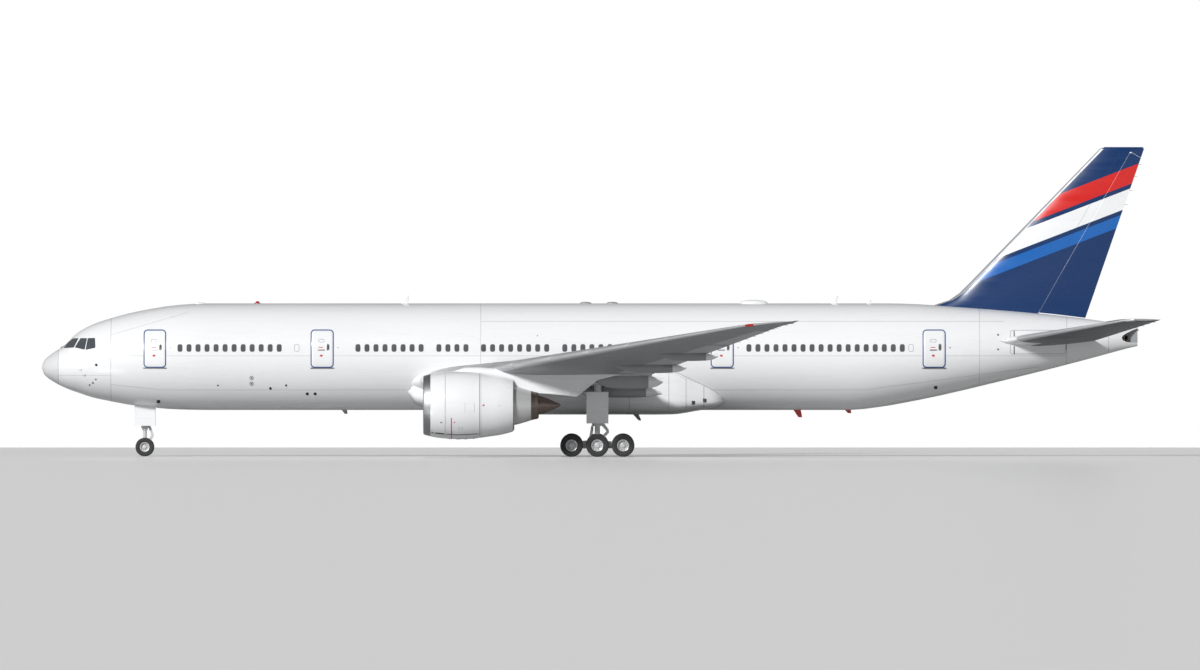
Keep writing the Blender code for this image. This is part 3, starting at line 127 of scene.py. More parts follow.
# Cockpit panes on one side, from ahead to behind: station and height of each corner
PANES = (
    ((1.24, 6.19), (1.76, 6.74), (2.12, 6.76), (1.85, 6.22)),
    ((1.90, 6.23), (2.23, 6.76), (2.61, 6.76), (2.48, 6.10)),
    ((2.53, 6.09), (2.65, 6.76), (3.07, 6.77), (3.10, 6.21)),
)
CENTRE_POST = 0.055
PANE_CORNER = 0.05
PANE_SIDES = 6
# The wiper: station and angle from the crown of both ends
WIPER = ((1.10, 12.0), (1.60, 22.0))

CABIN_DOORS = ((5.92, 7.09), (15.46, 16.66), (38.3, 39.5), (50.4, 51.6))
DOOR_SILL = 5.13
DOOR_HEAD = 7.19
DOOR_CORNER = 0.17
CARGO_DOORS = {"forward_cargo_door": (11.3, 14.0), "aft_cargo_door": (42.5, 45.2)}
CARGO_TOP_ANGLE = -20.0
CARGO_BOTTOM_ANGLE = -58.0
CARGO_DEPTH = 0.15
CARGO_HINGE_DEPTH = 0.02
CARGO_PIN_RADIUS = 0.012
CARGO_RIBS = 6
NOSE_WELL = ((5.25, 6.55), 0.50, 3.60)

# Cabin windows: the first one's station and how many follow at one pitch
WINDOW_ROWS = ((7.94, 12), (18.10, 8), (22.72, 4), (25.27, 8), (29.91, 15), (40.42, 18))
BLANK_WINDOWS = (14.61, 49.68)
WINDOW_PITCH = 0.515
WINDOW_HEIGHT = 6.20
WINDOW_SIZE = (0.145, 0.217)
WINDOW_SQUARENESS = 3.6

# Wing-body fairing: station, half width, middle height, height above it, depth below it
FAIRING_LINES = (
    (20.95, 2.28, 3.73, 0.10, 0.10),
    (21.34, 2.75, 3.70, 0.92, 0.67),
    (21.91, 2.95, 3.72, 1.62, 0.92),
    (22.80, 3.08, 3.78, 1.90, 1.20),
    (24.0, 3.20, 3.85, 1.95, 1.38),
    (26.5, 3.32, 3.90, 1.85, 1.49),
    (33.0, 3.32, 3.90, 1.85, 1.49),
    (36.0, 3.20, 3.70, 1.60, 1.28),
    (37.6, 2.84, 3.45, 1.05, 0.80),
    (38.4, 2.52, 3.32, 0.66, 0.54),
    (38.8, 2.16, 3.27, 0.36, 0.32),
    (39.05, 1.70, 3.25, 0.15, 0.15),
)
FAIRING_SQUARENESS = 4.0
FAIRING_POINTS = 96

# Lifting surfaces: span, leading edge station and height, trailing edge station and height, thickness.
# Their rings stand at these spans, and the wing has one more where its white root ends.
WING_LINES = (
    (2.2, 20.86, 4.19, 34.60, 3.70, 0.135),
    (9.6, 25.90, 5.05, 34.90, 4.72, 0.105),
    (30.2, 39.93, 7.45, 42.00, 7.42, 0.095),
    (31.5, 41.55, 7.62, 42.72, 7.60, 0.090),
    (32.4, 42.80, 7.73, 43.05, 7.73, 0.090),
)
STABILISER_LINES = (
    (0.6, 53.84, 6.41, 60.05, 6.57, 0.115),
    (10.4, 61.62, 7.76, 63.64, 7.76, 0.085),
    (10.76, 62.30, 7.81, 63.77, 7.81, 0.070),
)
# The fin: height, leading edge station, trailing edge station, thickness
FIN_LINES = (
    (7.60, 48.60, 59.57, 0.070),
    (8.45, 50.30, 59.87, 0.075),
    (8.63, 50.98, 59.93, 0.080),
    (8.94, 51.92, 60.04, 0.086),
    (9.34, 52.49, 60.18, 0.090),
    (9.93, 53.09, 60.38, 0.090),
    (17.59, 60.52, 63.04, 0.090),
    (17.69, 60.80, 62.95, 0.060),
)
WING_CAMBER = 0.02
EDGE_HALF_THICKNESS = 0.004
CHORD_STEPS = 28
# The wing's root is white as far out and as far aft as this, and its underside as far as the engine
WHITE_ROOT_SPAN = 3.7
WHITE_ROOT_STATION = 25.6
WHITE_UNDERSIDE_SPAN = 9.6

# The stabiliser's leading edge is white as far out and as far aft as this
LIGHT_ROOT_SPAN = 2.95
LIGHT_ROOT_STATION = 56.3
# The light fairing at the stabiliser's root: station, height above and below its middle, and its reach
STABILISER_ROOT_HEIGHT = 6.61
STABILISER_ROOT_NOSE = (
    (54.73, 0.01, 0.01, 0.02),
    (54.85, 0.08, 0.09, 0.09),
    (55.10, 0.14, 0.20, 0.18),
    (55.50, 0.17, 0.29, 0.30),
    (56.00, 0.19, 0.33, 0.42),
    (56.60, 0.19, 0.33, 0.50),
)

# Surfaces cut from the wing: inner and outer span, and the chord fraction of the cut at each
INBOARD_FLAP = ((3.75, 0.824), (9.00, 0.777))
FLAPERON = ((10.2, 0.76), (12.4, 0.76))
OUTBOARD_FLAP = ((12.75, 0.74), (22.2, 0.74))
AILERON = ((22.6, 0.76), (28.4, 0.76))
ELEVATOR = ((2.1, 0.75), (10.2, 0.72))
# How far the hinged surfaces turn each way, in degrees
FLAPERON_TRAVEL = (11, 37)
AILERON_TRAVEL = (33, 19)
ELEVATOR_TRAVEL = (33, 27)
RUDDER_TRAVEL = (27, 27)
# What cuts them out: a round nose that fills this part of the surface's depth, and all that lies behind it
NOSE_PART = 0.98
NOSE_ARC_STEPS = 12
CUT_SLANT = 0.02
CUTTER_REACH = 6.0
CUTTER_HEIGHT = 2.0
# Half the gap ahead of a flap that stays shut
FLAP_HALF_GAP = 0.008
RUDDER_HINGE_FOOT = (57.2, 8.47)
RUDDER_HINGE_SLOPE = 0.5686
RUDDER_HINGE_HEIGHTS = (8.18, 8.45, 8.94, 9.34)
RUDDER_TOP = 17.35
RUDDER_TOP_GAP = 0.06
RUDDER_FOOT_GAP = 0.05

# The slats' ends, the pair of them with the engine between, and the width of the fin's bare edge
SLAT_STOPS = (3.7, 8.35, 11.1, 14.3, 17.5, 20.7, 23.9, 27.0, 30.1)
SLAT_GAP = (8.35, 11.1)
FIN_EDGE_WIDTH = 0.22
# Spoilers: inner and outer span, and the chord fractions at their front and back
SPOILERS = [(4.1, 6.4, 0.70, 0.805), (6.45, 8.7, 0.685, 0.78)]
SPOILERS += [(13.0 + 1.84 * index, 14.78 + 1.84 * index, 0.62, 0.735) for index in range(5)]

# Flap track fairings: span, first and last station, lowest height, half width, height of the tip
TRACK_SECTIONS = ((0.0, 0.10), (0.12, 0.55), (0.35, 0.95), (0.6, 1.0), (0.80, 0.95), (0.92, 0.78), (1.0, 0.40))
TRACK_TIP_HALF_HEIGHT = 0.08
WHITE_TIP_PART = 0.84
TRACK_FAIRINGS = (
    (4.6, 30.60, 35.46, 3.37, 0.22, 3.59),
    (8.9, 31.10, 35.50, 3.87, 0.22, 4.38),
    (13.6, 32.57, 36.83, 4.78, 0.21, 5.14),
    (18.6, 34.94, 38.60, 5.47, 0.18, 5.78),
)

ENGINE_SPAN = 9.6
ENGINE_HEIGHT = 2.95
ENGINE_CENTRE = Vector((0, ENGINE_SPAN, ENGINE_HEIGHT))
COWL_SEGMENTS = 96
FAN_BLADES = 22
FAN_STATION = 23.46
BLADE_ROOT = 0.44
BLADE_TIP = 1.615
# The white spiral on the spinner: its first station, its length and its turn
SPIRAL_START = 22.66
SPIRAL_LENGTH = 0.36
SPIRAL_TURN = 1.9 * math.pi
GUIDE_ROD_RADIUS = 0.022
GUIDE_ROD_PLACE = 1.68
VANES = 36
VANE_RADII = (0.72, 1.635)
VANE_SECTION = ((0.0, 0.0), (0.15, 0.016), (0.40, 0.0), (0.15, -0.016))
CORE_CASING = (
    (23.86, 0.62), (24.40, 0.80), (25.20, 1.00), (25.8, 1.10), (26.4, 1.14), (27.06, 1.125), (27.6, 0.985),
    (28.00, 0.865),
)
COWL_START = 23.13
COWL_END = 25.08
SLEEVE_START = COWL_END + SHUT

# Pylon: station, lowest and highest point, half width
PYLON_LINES = (
    (23.50, 4.60, 4.86, 0.03),
    (24.26, 4.60, 5.09, 0.16),
    (25.10, 4.60, 5.11, 0.24),
    (25.90, 4.20, 5.05, 0.27),
    (26.50, 4.00, 5.10, 0.28),
    (27.20, 3.60, 5.00, 0.28),
    (28.45, 3.62, 5.00, 0.28),
    (29.10, 3.58, 5.00, 0.28),
    (30.00, 3.50, 5.00, 0.28),
    (30.60, 3.43, 5.00, 0.22),
    (31.80, 4.39, 5.00, 0.15),
    (33.30, 4.75, 4.90, 0.04),
)

# Landing gear
NOSE_GEAR_STATION = 5.89
NOSE_TYRE_RADIUS = 0.545
MAIN_GEAR_SPAN = 5.49
MAIN_GEAR_STATION = 31.77
AXLE_PITCH = 1.47
MAIN_TYRE_RADIUS = 0.66
CAD_WHEEL_SEGMENTS = 16
# A tyre's shoulder: parts of the half width and of the radius. Its grooves: which of the tread's 25 rows
TYRE_SHOULDER = ((0.93, 0.955), (1.0, 0.86), (1.0, 0.74), (0.90, 0.62))
GROOVES = (6, 10, 14, 18)
# Hoses down a leg: how far aft of it, the part of the sideways shift, and the height
MAIN_HOSE = (
    (-0.20, 1, 4.1), (-0.25, 1, 3.4), (-0.33, 1, 2.75), (-0.27, 1, 2.2), (-0.25, 1, 1.6), (-0.32, 1, 1.1),
    (-0.50, 0.8, 0.90),
)
NOSE_HOSE = ((5.99, 0.14, 3.45), (6.03, 0.13, 2.9), (6.06, 0.12, 2.4), (6.04, 0.11, 2.0), (6.00, 0.12, 1.90))
LAMP = ((5.60, 0.0), (5.60, 0.085), (5.63, 0.10), (5.72, 0.095), (5.80, 0.05), (5.80, 0.0))
# The bays under the wing: stations, spans and ceiling
GEAR_BAYS = (((29.9, 32.3), (5.10, 5.90), 4.40), ((31.3, 32.2), (3.80, 5.20), 4.05))

# Camera and studio, in metres of the model
SENSOR_WIDTH = 36.0
LENS = 800.0
VIEW_WIDTH = 34.32
CAMERA_STATION = 0.018
CAMERA_HEIGHT = 3.47
CAMERA_CLIP = (1.0, 6000.0)
FLOOR_NEAR, FLOOR_FAR, FLOOR_HALF_WIDTH = -700.0, 60.0, 700.0
KEY_STRENGTH = 3.4
KEY_ANGLE = math.radians(10)
KEY_DIRECTION = Vector((0.42, 0.72, -0.42))


# Meshes

def around(count):
    """Equal turns round a circle."""
    return [2 * math.pi * index / count for index in range(count)]


def build_mesh(name, points, faces, face_materials):
    """An object of these faces, turned outwards, with a material number for each face."""
    shape = bmesh.new()
    corners = [shape.verts.new(point) for point in points]
    for face, slot in zip(faces, face_materials):
        shape.faces.new([corners[corner] for corner in face]).material_index = slot
    bmesh.ops.recalc_face_normals(shape, faces=shape.faces)
    mesh = bpy.data.meshes.new(name)
    shape.to_mesh(mesh)
    shape.free()
    obj = bpy.data.objects.new(name, mesh)
    bpy.context.scene.collection.objects.link(obj)
    return obj


def for_each(slots, count):
    """One material number for all of the stretches, or the list of them as it is."""
    return slots if isinstance(slots, (list, tuple)) else [slots] * count


class Shape:
    """Collects the faces of one object, with a material number for each."""

    def __init__(self, name):
        self.name = name
        self.points = []
        self.faces = []
        self.slots = []

    def add_face(self, corners, slot):
        self.faces.append(tuple(corners))
        self.slots.append(slot)

    def add_rings(self, rings, slots):
        """A closed skin through rings of equally many points. slots has one material number for each stretch."""
        size = len(rings[0])
        stretches = len(rings) - 1
        slots = for_each(slots, stretches)
        base = len(self.points)
        for ring in rings:
            self.points += list(ring)
        for row in range(stretches):
            start = base + row * size
            for index in range(size):
                following = (index + 1) % size
                corners = (start + index, start + following, start + size + following, start + size + index)
                self.add_face(corners, slots[row])
        for end, row in ((base, 0), (base + stretches * size, -1)):
            self.add_face(range(end, end + size), slots[row])
        return self

    def add_tube(self, path, radius, slot=0, segments=10):
        """A round tube along a path of points."""
        path = [Vector(point) for point in path]
        rings = []
        side = None
        for index, point in enumerate(path):
            ahead = path[min(index + 1, len(path) - 1)] - path[max(index - 1, 0)]
            ahead.normalize()
            if side is None:
                side = ahead.orthogonal().normalized()
            side = (side - ahead * side.dot(ahead)).normalized()
            other = ahead.cross(side)
            rings.append([point + radius * (side * math.cos(t) + other * math.sin(t)) for t in around(segments)])
        return self.add_rings(rings, slot)

    def add_turned(self, profile, centre, axis, segments, slots=0):
        """A profile of (place along the axis, radius), turned into a closed ring or, from radius 0, a solid."""
        side = ACROSS if abs(axis.y) < 0.9 else ALONG
        side = (side - axis * side.dot(axis)).normalized()
        other = axis.cross(side)
        turns = [2 * math.pi * (step + 0.5) / segments for step in range(segments)]
        spokes = [side * math.cos(turn) + other * math.sin(turn) for turn in turns]
        starts = []
        for place, radius in profile:
            foot = centre + axis * place
            starts.append(len(self.points))
            self.points += [foot + spoke * radius for spoke in spokes] if radius else [foot]
        rows = list(range(len(profile)))
        if profile[0][1]:
            rows.append(0)
        for slot, first, second in zip(for_each(slots, len(profile)), rows, rows[1:]):
            for index in range(segments):
                steps = (index, (index + 1) % segments)
                near = [starts[first] + step for step in steps] if profile[first][1] else [starts[first]]
                far = [starts[second] + step for step in steps[::-1]] if profile[second][1] else [starts[second]]
                self.add_face(near + far, slot)
        return self

    def made(self):
        return build_mesh(self.name, self.points, self.faces, self.slots)


def loft(name, rings):
    return Shape(name).add_rings(rings, 0).made()


def prism(name, outline, low, high, axis):
    """An outline drawn square to an axis, as its other two coordinates in order, and drawn out along it."""
    order = {"X": (2, 0, 1), "Y": (0, 2, 1), "Z": (0, 1, 2)}[axis]
    rings = []
    for depth in (low, high):
        rings.append([Vector([(*point, depth)[part] for part in order]) for point in outline])
    return loft(name, rings)


def box(name, stations, spans, heights):
    (first, last), (inner, outer) = stations, spans
    return prism(name, [(first, inner), (last, inner), (last, outer), (first, outer)], *heights, "Z")


def rod(start, end, radius, segments):
    return Shape("rod").add_tube([start, end], radius, 0, segments).made()


def rounded_rectangle(low, high, radius, steps=5, sides=8):
    """Round corners, with each straight side in equal pieces, so that it can follow a curved skin."""
    right, left, top, foot = high[0] - radius, low[0] + radius, high[1] - radius, low[1] + radius
    arcs = []
    for quarter, (across, rise) in enumerate(((right, top), (left, top), (left, foot), (right, foot))):
        angles = [math.radians(90 * quarter + 90 * step / steps) for step in range(steps + 1)]
        arcs.append([(across + radius * math.cos(angle), rise + radius * math.sin(angle)) for angle in angles])
    outline = []
    for arc, following in zip(arcs, arcs[1:] + arcs[:1]):
        outline += arc
        (from_x, from_y), (to_x, to_y) = arc[-1], following[0]
        for part in (step / sides for step in range(1, sides)):
            outline.append((from_x + (to_x - from_x) * part, from_y + (to_y - from_y) * part))
    return outline


def swollen(wave, squareness):
    """A sine or cosine pushed outwards, so that a circle swells towards a square."""
    return math.copysign(abs(wave) ** (2 / squareness), wave)


def oval(centre, half_width, half_height, points=20, squareness=2.0):
    outline = []
    for index in range(points):
        turn = 2 * math.pi * (index + 0.5) / points
        across = half_width * swollen(math.cos(turn), squareness)
        outline.append((centre[0] + across, centre[1] + half_height * swollen(math.sin(turn), squareness)))
    return outline


def copy_of(obj, name="copy"):
    twin = obj.copy()
    twin.data = obj.data.copy()
    twin.name = name
    bpy.context.scene.collection.objects.link(twin)
    return twin


def mirrored(obj, name):
    twin = copy_of(obj, name)
    twin.data.transform(Matrix.Scale(-1, 4, ACROSS))
    twin.data.flip_normals()
    return twin


def volume_inside(mesh):
    """The volume that a mesh encloses, or -1 where it is empty or open."""
    shape = bmesh.new()
    shape.from_mesh(mesh)
    closed = bool(shape.faces) and all(len(edge.link_faces) == 2 for edge in shape.edges)
    volume = shape.calc_volume() if closed else -1.0
    shape.free()
    return volume


def boolean(target, tool, operation):
    """Applies a Boolean at once, and removes its tool. The manifold solver's result stands in where the
    exact solver has left a body or a face out."""
    modifier = target.modifiers.new("boolean", "BOOLEAN")
    modifier.operation = operation
    modifier.object = tool
    results = []
    for solver in ("EXACT", "MANIFOLD"):
        modifier.solver = solver
        graph = bpy.context.evaluated_depsgraph_get()
        results.append(bpy.data.meshes.new_from_object(target.evaluated_get(graph)))
    exact, manifold = [volume_inside(result) for result in results]
    trusted = manifold < 0 or abs(exact - manifold) < 1e-5 * manifold
    target.modifiers.clear()
    target.data = results[0] if trusted else results[1]
    bpy.data.objects.remove(tool)
    return target


def cut(target, *tools):
    for tool in tools:
        boolean(target, tool, "DIFFERENCE")
    return target


def join(target, *tools):
    for tool in tools:
        boolean(target, tool, "UNION")
    return target


def keep_inside(target, tool):
    return boolean(target, tool, "INTERSECT")


# Curves through tables

def smooth_row(rows, place):
    """A table's row at a place between its own rows, on smooth curves that don't overshoot."""
    table = np.array(rows)
    steps = np.diff(table[:, 0])
    slopes = np.diff(table, axis=0) / steps[:, None]
    before = slopes[:-1]
    after = slopes[1:]
    same_way = before * after > 0
    middle = np.where(same_way, 2 * before * after / np.where(same_way, before + after, 1), 0)
    tangents = np.vstack([slopes[:1], middle, slopes[-1:]])
    index = int(np.clip(np.searchsorted(table[:, 0], place) - 1, 0, len(steps) - 1))
    step = steps[index]
    t = (place - table[index, 0]) / step
    start = (1 + 2 * t) * (1 - t) ** 2 * table[index] + t * (1 - t) ** 2 * step * tangents[index]
    end = t * t * (3 - 2 * t) * table[index + 1] + t * t * (t - 1) * step * tangents[index + 1]
    return start + end


def straight_row(rows, place):
    table = np.array(rows)
    return [float(np.interp(place, table[:, 0], column)) for column in table.T]


def through(points, steps):
    """A smooth open curve through points of any size, as a denser list."""
    rows = np.array([points[0], *points, points[-1]], float)
    curve = []
    for index in range(1, len(rows) - 2):
        before, start, end, after = rows[index - 1:index + 3]
        bend = 2 * before - 5 * start + 4 * end - after
        twist = 3 * start - before - 3 * end + after
        for t in (step / steps for step in range(steps)):
            curve.append(0.5 * (2 * start + (end - before) * t + bend * t * t + twist * t**3))
    curve.append(rows[-2])
    return [tuple(point) for point in curve]


# The fuselage's skin

skin_rows = {}


def skin_row(station):
    """Crown height, keel height, height of the widest line and half width."""
    key = round(float(station), 5)
    if key not in skin_rows:
        skin_rows[key] = smooth_row(FUSELAGE_LINES, key)[1:]
    return skin_rows[key]


def skin_at_turn(station, degrees):
    """The skin's point at an angle from the crown, positive to starboard."""
    return skin_on_turn(station, math.radians(degrees))


def skin_on_turn(station, turn):
    crown, keel, widest, half_width = skin_row(station)
    reach = crown - widest if math.cos(turn) > 0 else widest - keel
    return Vector((station, half_width * math.sin(turn), widest + reach * math.cos(turn)))


def skin_part(name, first, last):
    inner = [station for station in SKIN_STATIONS if first < station < last]
    turns = around(SKIN_POINTS)
    return loft(name, [[skin_on_turn(station, turn) for turn in turns] for station in (first, *inner, last)])


def skin_at_height(station, height):
    """The starboard skin's point at a station and height."""
    crown, keel, widest, half_width = skin_row(station)
    reach = crown - widest if height > widest else widest - keel
    ratio = min(abs(height - widest) / reach, 0.9999)
    return Vector((station, half_width * math.sqrt(1 - ratio * ratio), height))


def standing_off(surface, way, step=0.01):
    """From a function of two places to a point, one that also takes a height off the surface. way is 1 where
    the surface's two directions cross to an outward normal, and -1 where they cross to an inward one."""
    def place(first, second, offset):
        along = surface(first + step, second) - surface(first - step, second)
        other = surface(first, second + step) - surface(first, second - step)
        return surface(first, second) + along.cross(other).normalized() * (way * offset)
    return place


on_side = standing_off(skin_at_height, -1)
on_turn = standing_off(skin_at_turn, 1)


def plate(edge, middle):
    """A profile for add_patch: the heights of a plate's edge and middle."""
    return ((1.0, -0.01), (1.0, edge), (0.02, middle))


def pad(edge, middle):
    """A profile for add_patch: a plate with a rounded rim."""
    return ((1.0, -0.01), (1.0, edge), (0.9, middle), (0.05, middle))


def dish(rim, wall):
    """A profile for add_patch: a rim, which ends at one part of the width, and a sunk middle within another."""
    return ((1.0, -0.01), (1.0, 0.006), (rim, 0.006), (wall, 0.002), (0.05, 0.002))


def add_patch(shape, outline, profile, place, slots):
    """A raised panel on a surface: rings from its edge, 1, to its middle, 0, each at a height above it."""
    middle = np.mean(outline, axis=0)
    rings = []
    for part, offset in profile:
        ring = []
        for point in outline:
            first, second = middle + (np.array(point) - middle) * part
            ring.append(place(float(first), float(second), offset))
        rings.append(ring)
    return shape.add_rings(rings, slots)


def add_band(shape, outline, width, place, slot, height=0.006):
    """A flat strip of one width round an outline."""
    points = np.array(outline)
    following = np.roll(points, -1, axis=0) - np.roll(points, 1, axis=0)
    normals = np.stack([following[:, 1], -following[:, 0]], axis=1)
    normals /= np.linalg.norm(normals, axis=1)[:, None]
    outer = points + normals * width
    base = len(shape.points)
    size = len(points)
    for ring, offset in ((points, -STRIP_DEPTH), (points, height), (outer, height), (outer, -STRIP_DEPTH)):
        shape.points += [place(float(first), float(second), offset) for first, second in ring]
    for row in range(4):
        near = base + row * size
        far = base + (row + 1) % 4 * size
        for index in range(size):
            step = (index + 1) % size
            shape.add_face((near + index, near + step, far + step, far + index), slot)


def add_line(shape, path, width, place, slot, height=0.005):
    """A flat strip along a path on a surface."""
    points = np.array(path, float)
    ahead = np.gradient(points, axis=0)
    normals = np.stack([-ahead[:, 1], ahead[:, 0]], axis=1)
    normals /= np.linalg.norm(normals, axis=1)[:, None]
    rings = []
    for left, right in zip(points + normals * width / 2, points - normals * width / 2):
        corners = ((left, -STRIP_DEPTH), (left, height), (right, height), (right, -STRIP_DEPTH))
        rings.append([place(float(first), float(second), offset) for (first, second), offset in corners])
    shape.add_rings(rings, slot)


# Materials

def add_node(tree, kind, settings=(), **inputs):
    """A shader node. Inputs are given by name or as _0, _1 by number, and take values or sockets."""
    node = tree.nodes.new(kind)
    for key, value in dict(settings).items():
        setattr(node, key, value)
    for key, value in inputs.items():
        socket = node.inputs[int(key[1:])] if key[0] == "_" else node.inputs[key.replace("_", " ")]
        if isinstance(value, bpy.types.NodeSocket):
            tree.links.new(value, socket)
        else:
            socket.default_value = value
    return node


def maths(tree, operation, first, second=0.0, third=0.0):
    return add_node(tree, "ShaderNodeMath", {"operation": operation}, _0=first, _1=second, _2=third).outputs[0]


def blend_colours(tree, factor, first, second):
    """first where the factor is 0 and second where it is 1."""
    node = add_node(tree, "ShaderNodeMix", {"data_type": "RGBA"})
    for socket, value in ((node.inputs[0], factor), (node.inputs[6], first), (node.inputs[7], second)):
        if isinstance(value, bpy.types.NodeSocket):
            tree.links.new(value, socket)
        else:
            socket.default_value = (*value, 1.0)
    return node.outputs[2]


def scaled_colour(tree, colour, factor):
    return add_node(tree, "ShaderNodeVectorMath", {"operation": "SCALE"}, _0=colour, Scale=factor).outputs[0]


def full_size_place(tree):
    """The object's own coordinates, in metres of the full-size aircraft."""
    place = add_node(tree, "ShaderNodeTexCoord").outputs["Object"]
    grown = add_node(
        tree, "ShaderNodeVectorMath", {"operation": "MULTIPLY_ADD"},
        _0=place, _1=(1 / SCALE,) * 3, _2=(LENGTH / 2, 0.0, 0.0),
    )
    return grown.outputs[0]


def along_direction(tree, place, direction):
    node = add_node(tree, "ShaderNodeVectorMath", {"operation": "DOT_PRODUCT"}, _0=place, _1=direction)
    return node.outputs["Value"]


def noise(tree, place, scale, detail=3.0, stretch=(1, 1, 1)):
    scaled = add_node(tree, "ShaderNodeVectorMath", {"operation": "MULTIPLY"}, _0=place, _1=stretch)
    return add_node(tree, "ShaderNodeTexNoise", Vector=scaled.outputs[0], Scale=scale, Detail=detail).outputs[0]


def remap(tree, value, low, high, new_low, new_high):
    node = add_node(tree, "ShaderNodeMapRange", _0=value, _1=low, _2=high, _3=new_low, _4=new_high)
    return node.outputs[0]


def line_mask(tree, place, lines):
    """1 on thin lines. Each is a direction, its distance from the origin, half its width and its limits:
    further directions, each with a lowest and a highest distance."""
    total = None
    for direction, distance, half_width, *limits in lines:
        off = maths(tree, "SUBTRACT", along_direction(tree, place, direction), distance)
        mask = maths(tree, "LESS_THAN", maths(tree, "ABSOLUTE", off), half_width)
        for limit, low, high in limits:
            inside = maths(tree, "COMPARE", along_direction(tree, place, limit), (low + high) / 2, (high - low) / 2)
            mask = maths(tree, "MULTIPLY", mask, inside)
        total = mask if total is None else maths(tree, "MAXIMUM", total, mask)
    return total


def new_material(name):
    material = bpy.data.materials.new(name)
    material.use_nodes = True
    tree = material.node_tree
    return material, tree, tree.nodes["Principled BSDF"]


def finish_surface(tree, shader, colour, roughness, height, distance, strength):
    """Links a colour, a roughness and a height, which makes a bump of this distance and strength."""
    tree.links.new(colour, shader.inputs["Base Color"])
    tree.links.new(roughness, shader.inputs["Roughness"])
    node = add_node(tree, "ShaderNodeBump", Strength=strength, Distance=distance, Height=height)
    tree.links.new(node.outputs[0], shader.inputs["Normal"])


def paint(
    name, colour, rough=(0.22, 0.38), metallic=0.0, coat=0.0, tone=0.05, lines=(), line_colour=None,
    line_strength=0.0, bands=None,
):
    """Aircraft paint: slight changes of tone along the airflow, a fine orange peel, and panel lines.
    bands recolours it by (direction, stops), where stops are distances and the colours from there on."""
    material, tree, shader = new_material(name)
    shader.inputs["Metallic"].default_value = metallic
    shader.inputs["Coat Weight"].default_value = coat
    shader.inputs["Coat Roughness"].default_value = 0.12
    place = full_size_place(tree)
    base = colour
    if bands:
        distance = along_direction(tree, place, bands[0])
        for start, shade in bands[1]:
            base = blend_colours(tree, maths(tree, "GREATER_THAN", distance, start), base, shade)
    streaks = noise(tree, place, 0.7, 4.0, (0.25, 2.5, 2.5))
    patches = noise(tree, place, 0.16, 2.0)
    wear = maths(tree, "MULTIPLY_ADD", maths(tree, "ADD", streaks, patches), tone, 1 - tone)
    shaded = scaled_colour(tree, base, wear)
    height = maths(tree, "MULTIPLY", noise(tree, place, 28.0, 2.0), 0.12)
    if lines:
        mask = line_mask(tree, place, lines)
        shaded = blend_colours(tree, maths(tree, "MULTIPLY", mask, line_strength), shaded, line_colour)
        height = maths(tree, "SUBTRACT", height, mask)
    finish_surface(tree, shader, shaded, remap(tree, streaks, 0.3, 0.7, *rough), height, 0.0015, 0.35)
    return material


def metal(name, colour, rough, grain=(0.3, 6, 6), tint=None, tone=0.15, scale=3.0):
    """Bare metal with a grain along the airflow, and a second tint in patches where it has been hot."""
    material, tree, shader = new_material(name)
    shader.inputs["Metallic"].default_value = 1.0
    streaks = noise(tree, full_size_place(tree), scale, 4.0, grain)
    factor = remap(tree, streaks, 0.3, 0.7, 0.0, 1.0)
    shaded = blend_colours(tree, factor, colour, tint or tuple(channel * (1 - tone) for channel in colour))
    finish_surface(tree, shader, shaded, remap(tree, streaks, 0.25, 0.75, *rough), streaks, 0.001, 0.2)
    return material


def matt(name, colour, rough=(0.7, 0.9), tone=0.25):
    """Rubber, sealant, primer, near-black marks and painted shade in holes: dull, with a fine grain."""
    material, tree, shader = new_material(name)
    place = full_size_place(tree)
    grain = noise(tree, place, 6.0, 5.0)
    fine = noise(tree, place, 72.0, 3.0)
    shaded = scaled_colour(tree, colour, maths(tree, "MULTIPLY_ADD", grain, tone, 1 - tone / 2))
    finish_surface(tree, shader, shaded, remap(tree, grain, 0.3, 0.7, *rough), fine, 0.002, 0.3)
    return material


def glassy(name, colour, rough=(0.03, 0.09), coat=0.5):
    """Dark glazing that shows nothing behind it, with faint smears."""
    material, tree, shader = new_material(name)
    shader.inputs["Coat Weight"].default_value = coat
    shader.inputs["Coat Roughness"].default_value = 0.03
    shader.inputs["IOR"].default_value = 1.52
    smears = noise(tree, full_size_place(tree), 1.6, 3.0)
    shaded = scaled_colour(tree, colour, maths(tree, "MULTIPLY_ADD", smears, 0.5, 0.75))
    finish_surface(tree, shader, shaded, remap(tree, smears, 0.3, 0.7, *rough), smears, 0.001, 0.05)
    return material


STATION = (1.0, 0.0, 0.0)
HEIGHT = (0.0, 0.0, 1.0)
LINE = 0.022
THIN_LINE = 0.8 * LINE
FAINT_LINE = 0.6 * LINE

WHITE = (0.78, 0.79, 0.80)
GREY = (0.285, 0.297, 0.31)
# Painted shade: the darker grey that the tailplane's underside takes
SHADED_UNDERSIDE_GREY = (0.125, 0.132, 0.14)
DARK_BLUE = (0.0005, 0.028, 0.118)
MID_BLUE = (0.006, 0.115, 0.420)
STRIPE_WHITE = (0.80, 0.81, 0.82)
STRIPE_RED = (0.60, 0.015, 0.012)
STRIPE_SLOPE = (-0.36, 0.0, 0.933)
STRIPES = (
    (0.0, MID_BLUE), (0.62, DARK_BLUE), (0.86, STRIPE_WHITE), (1.84, DARK_BLUE), (2.08, STRIPE_RED),
    (3.00, DARK_BLUE),
)

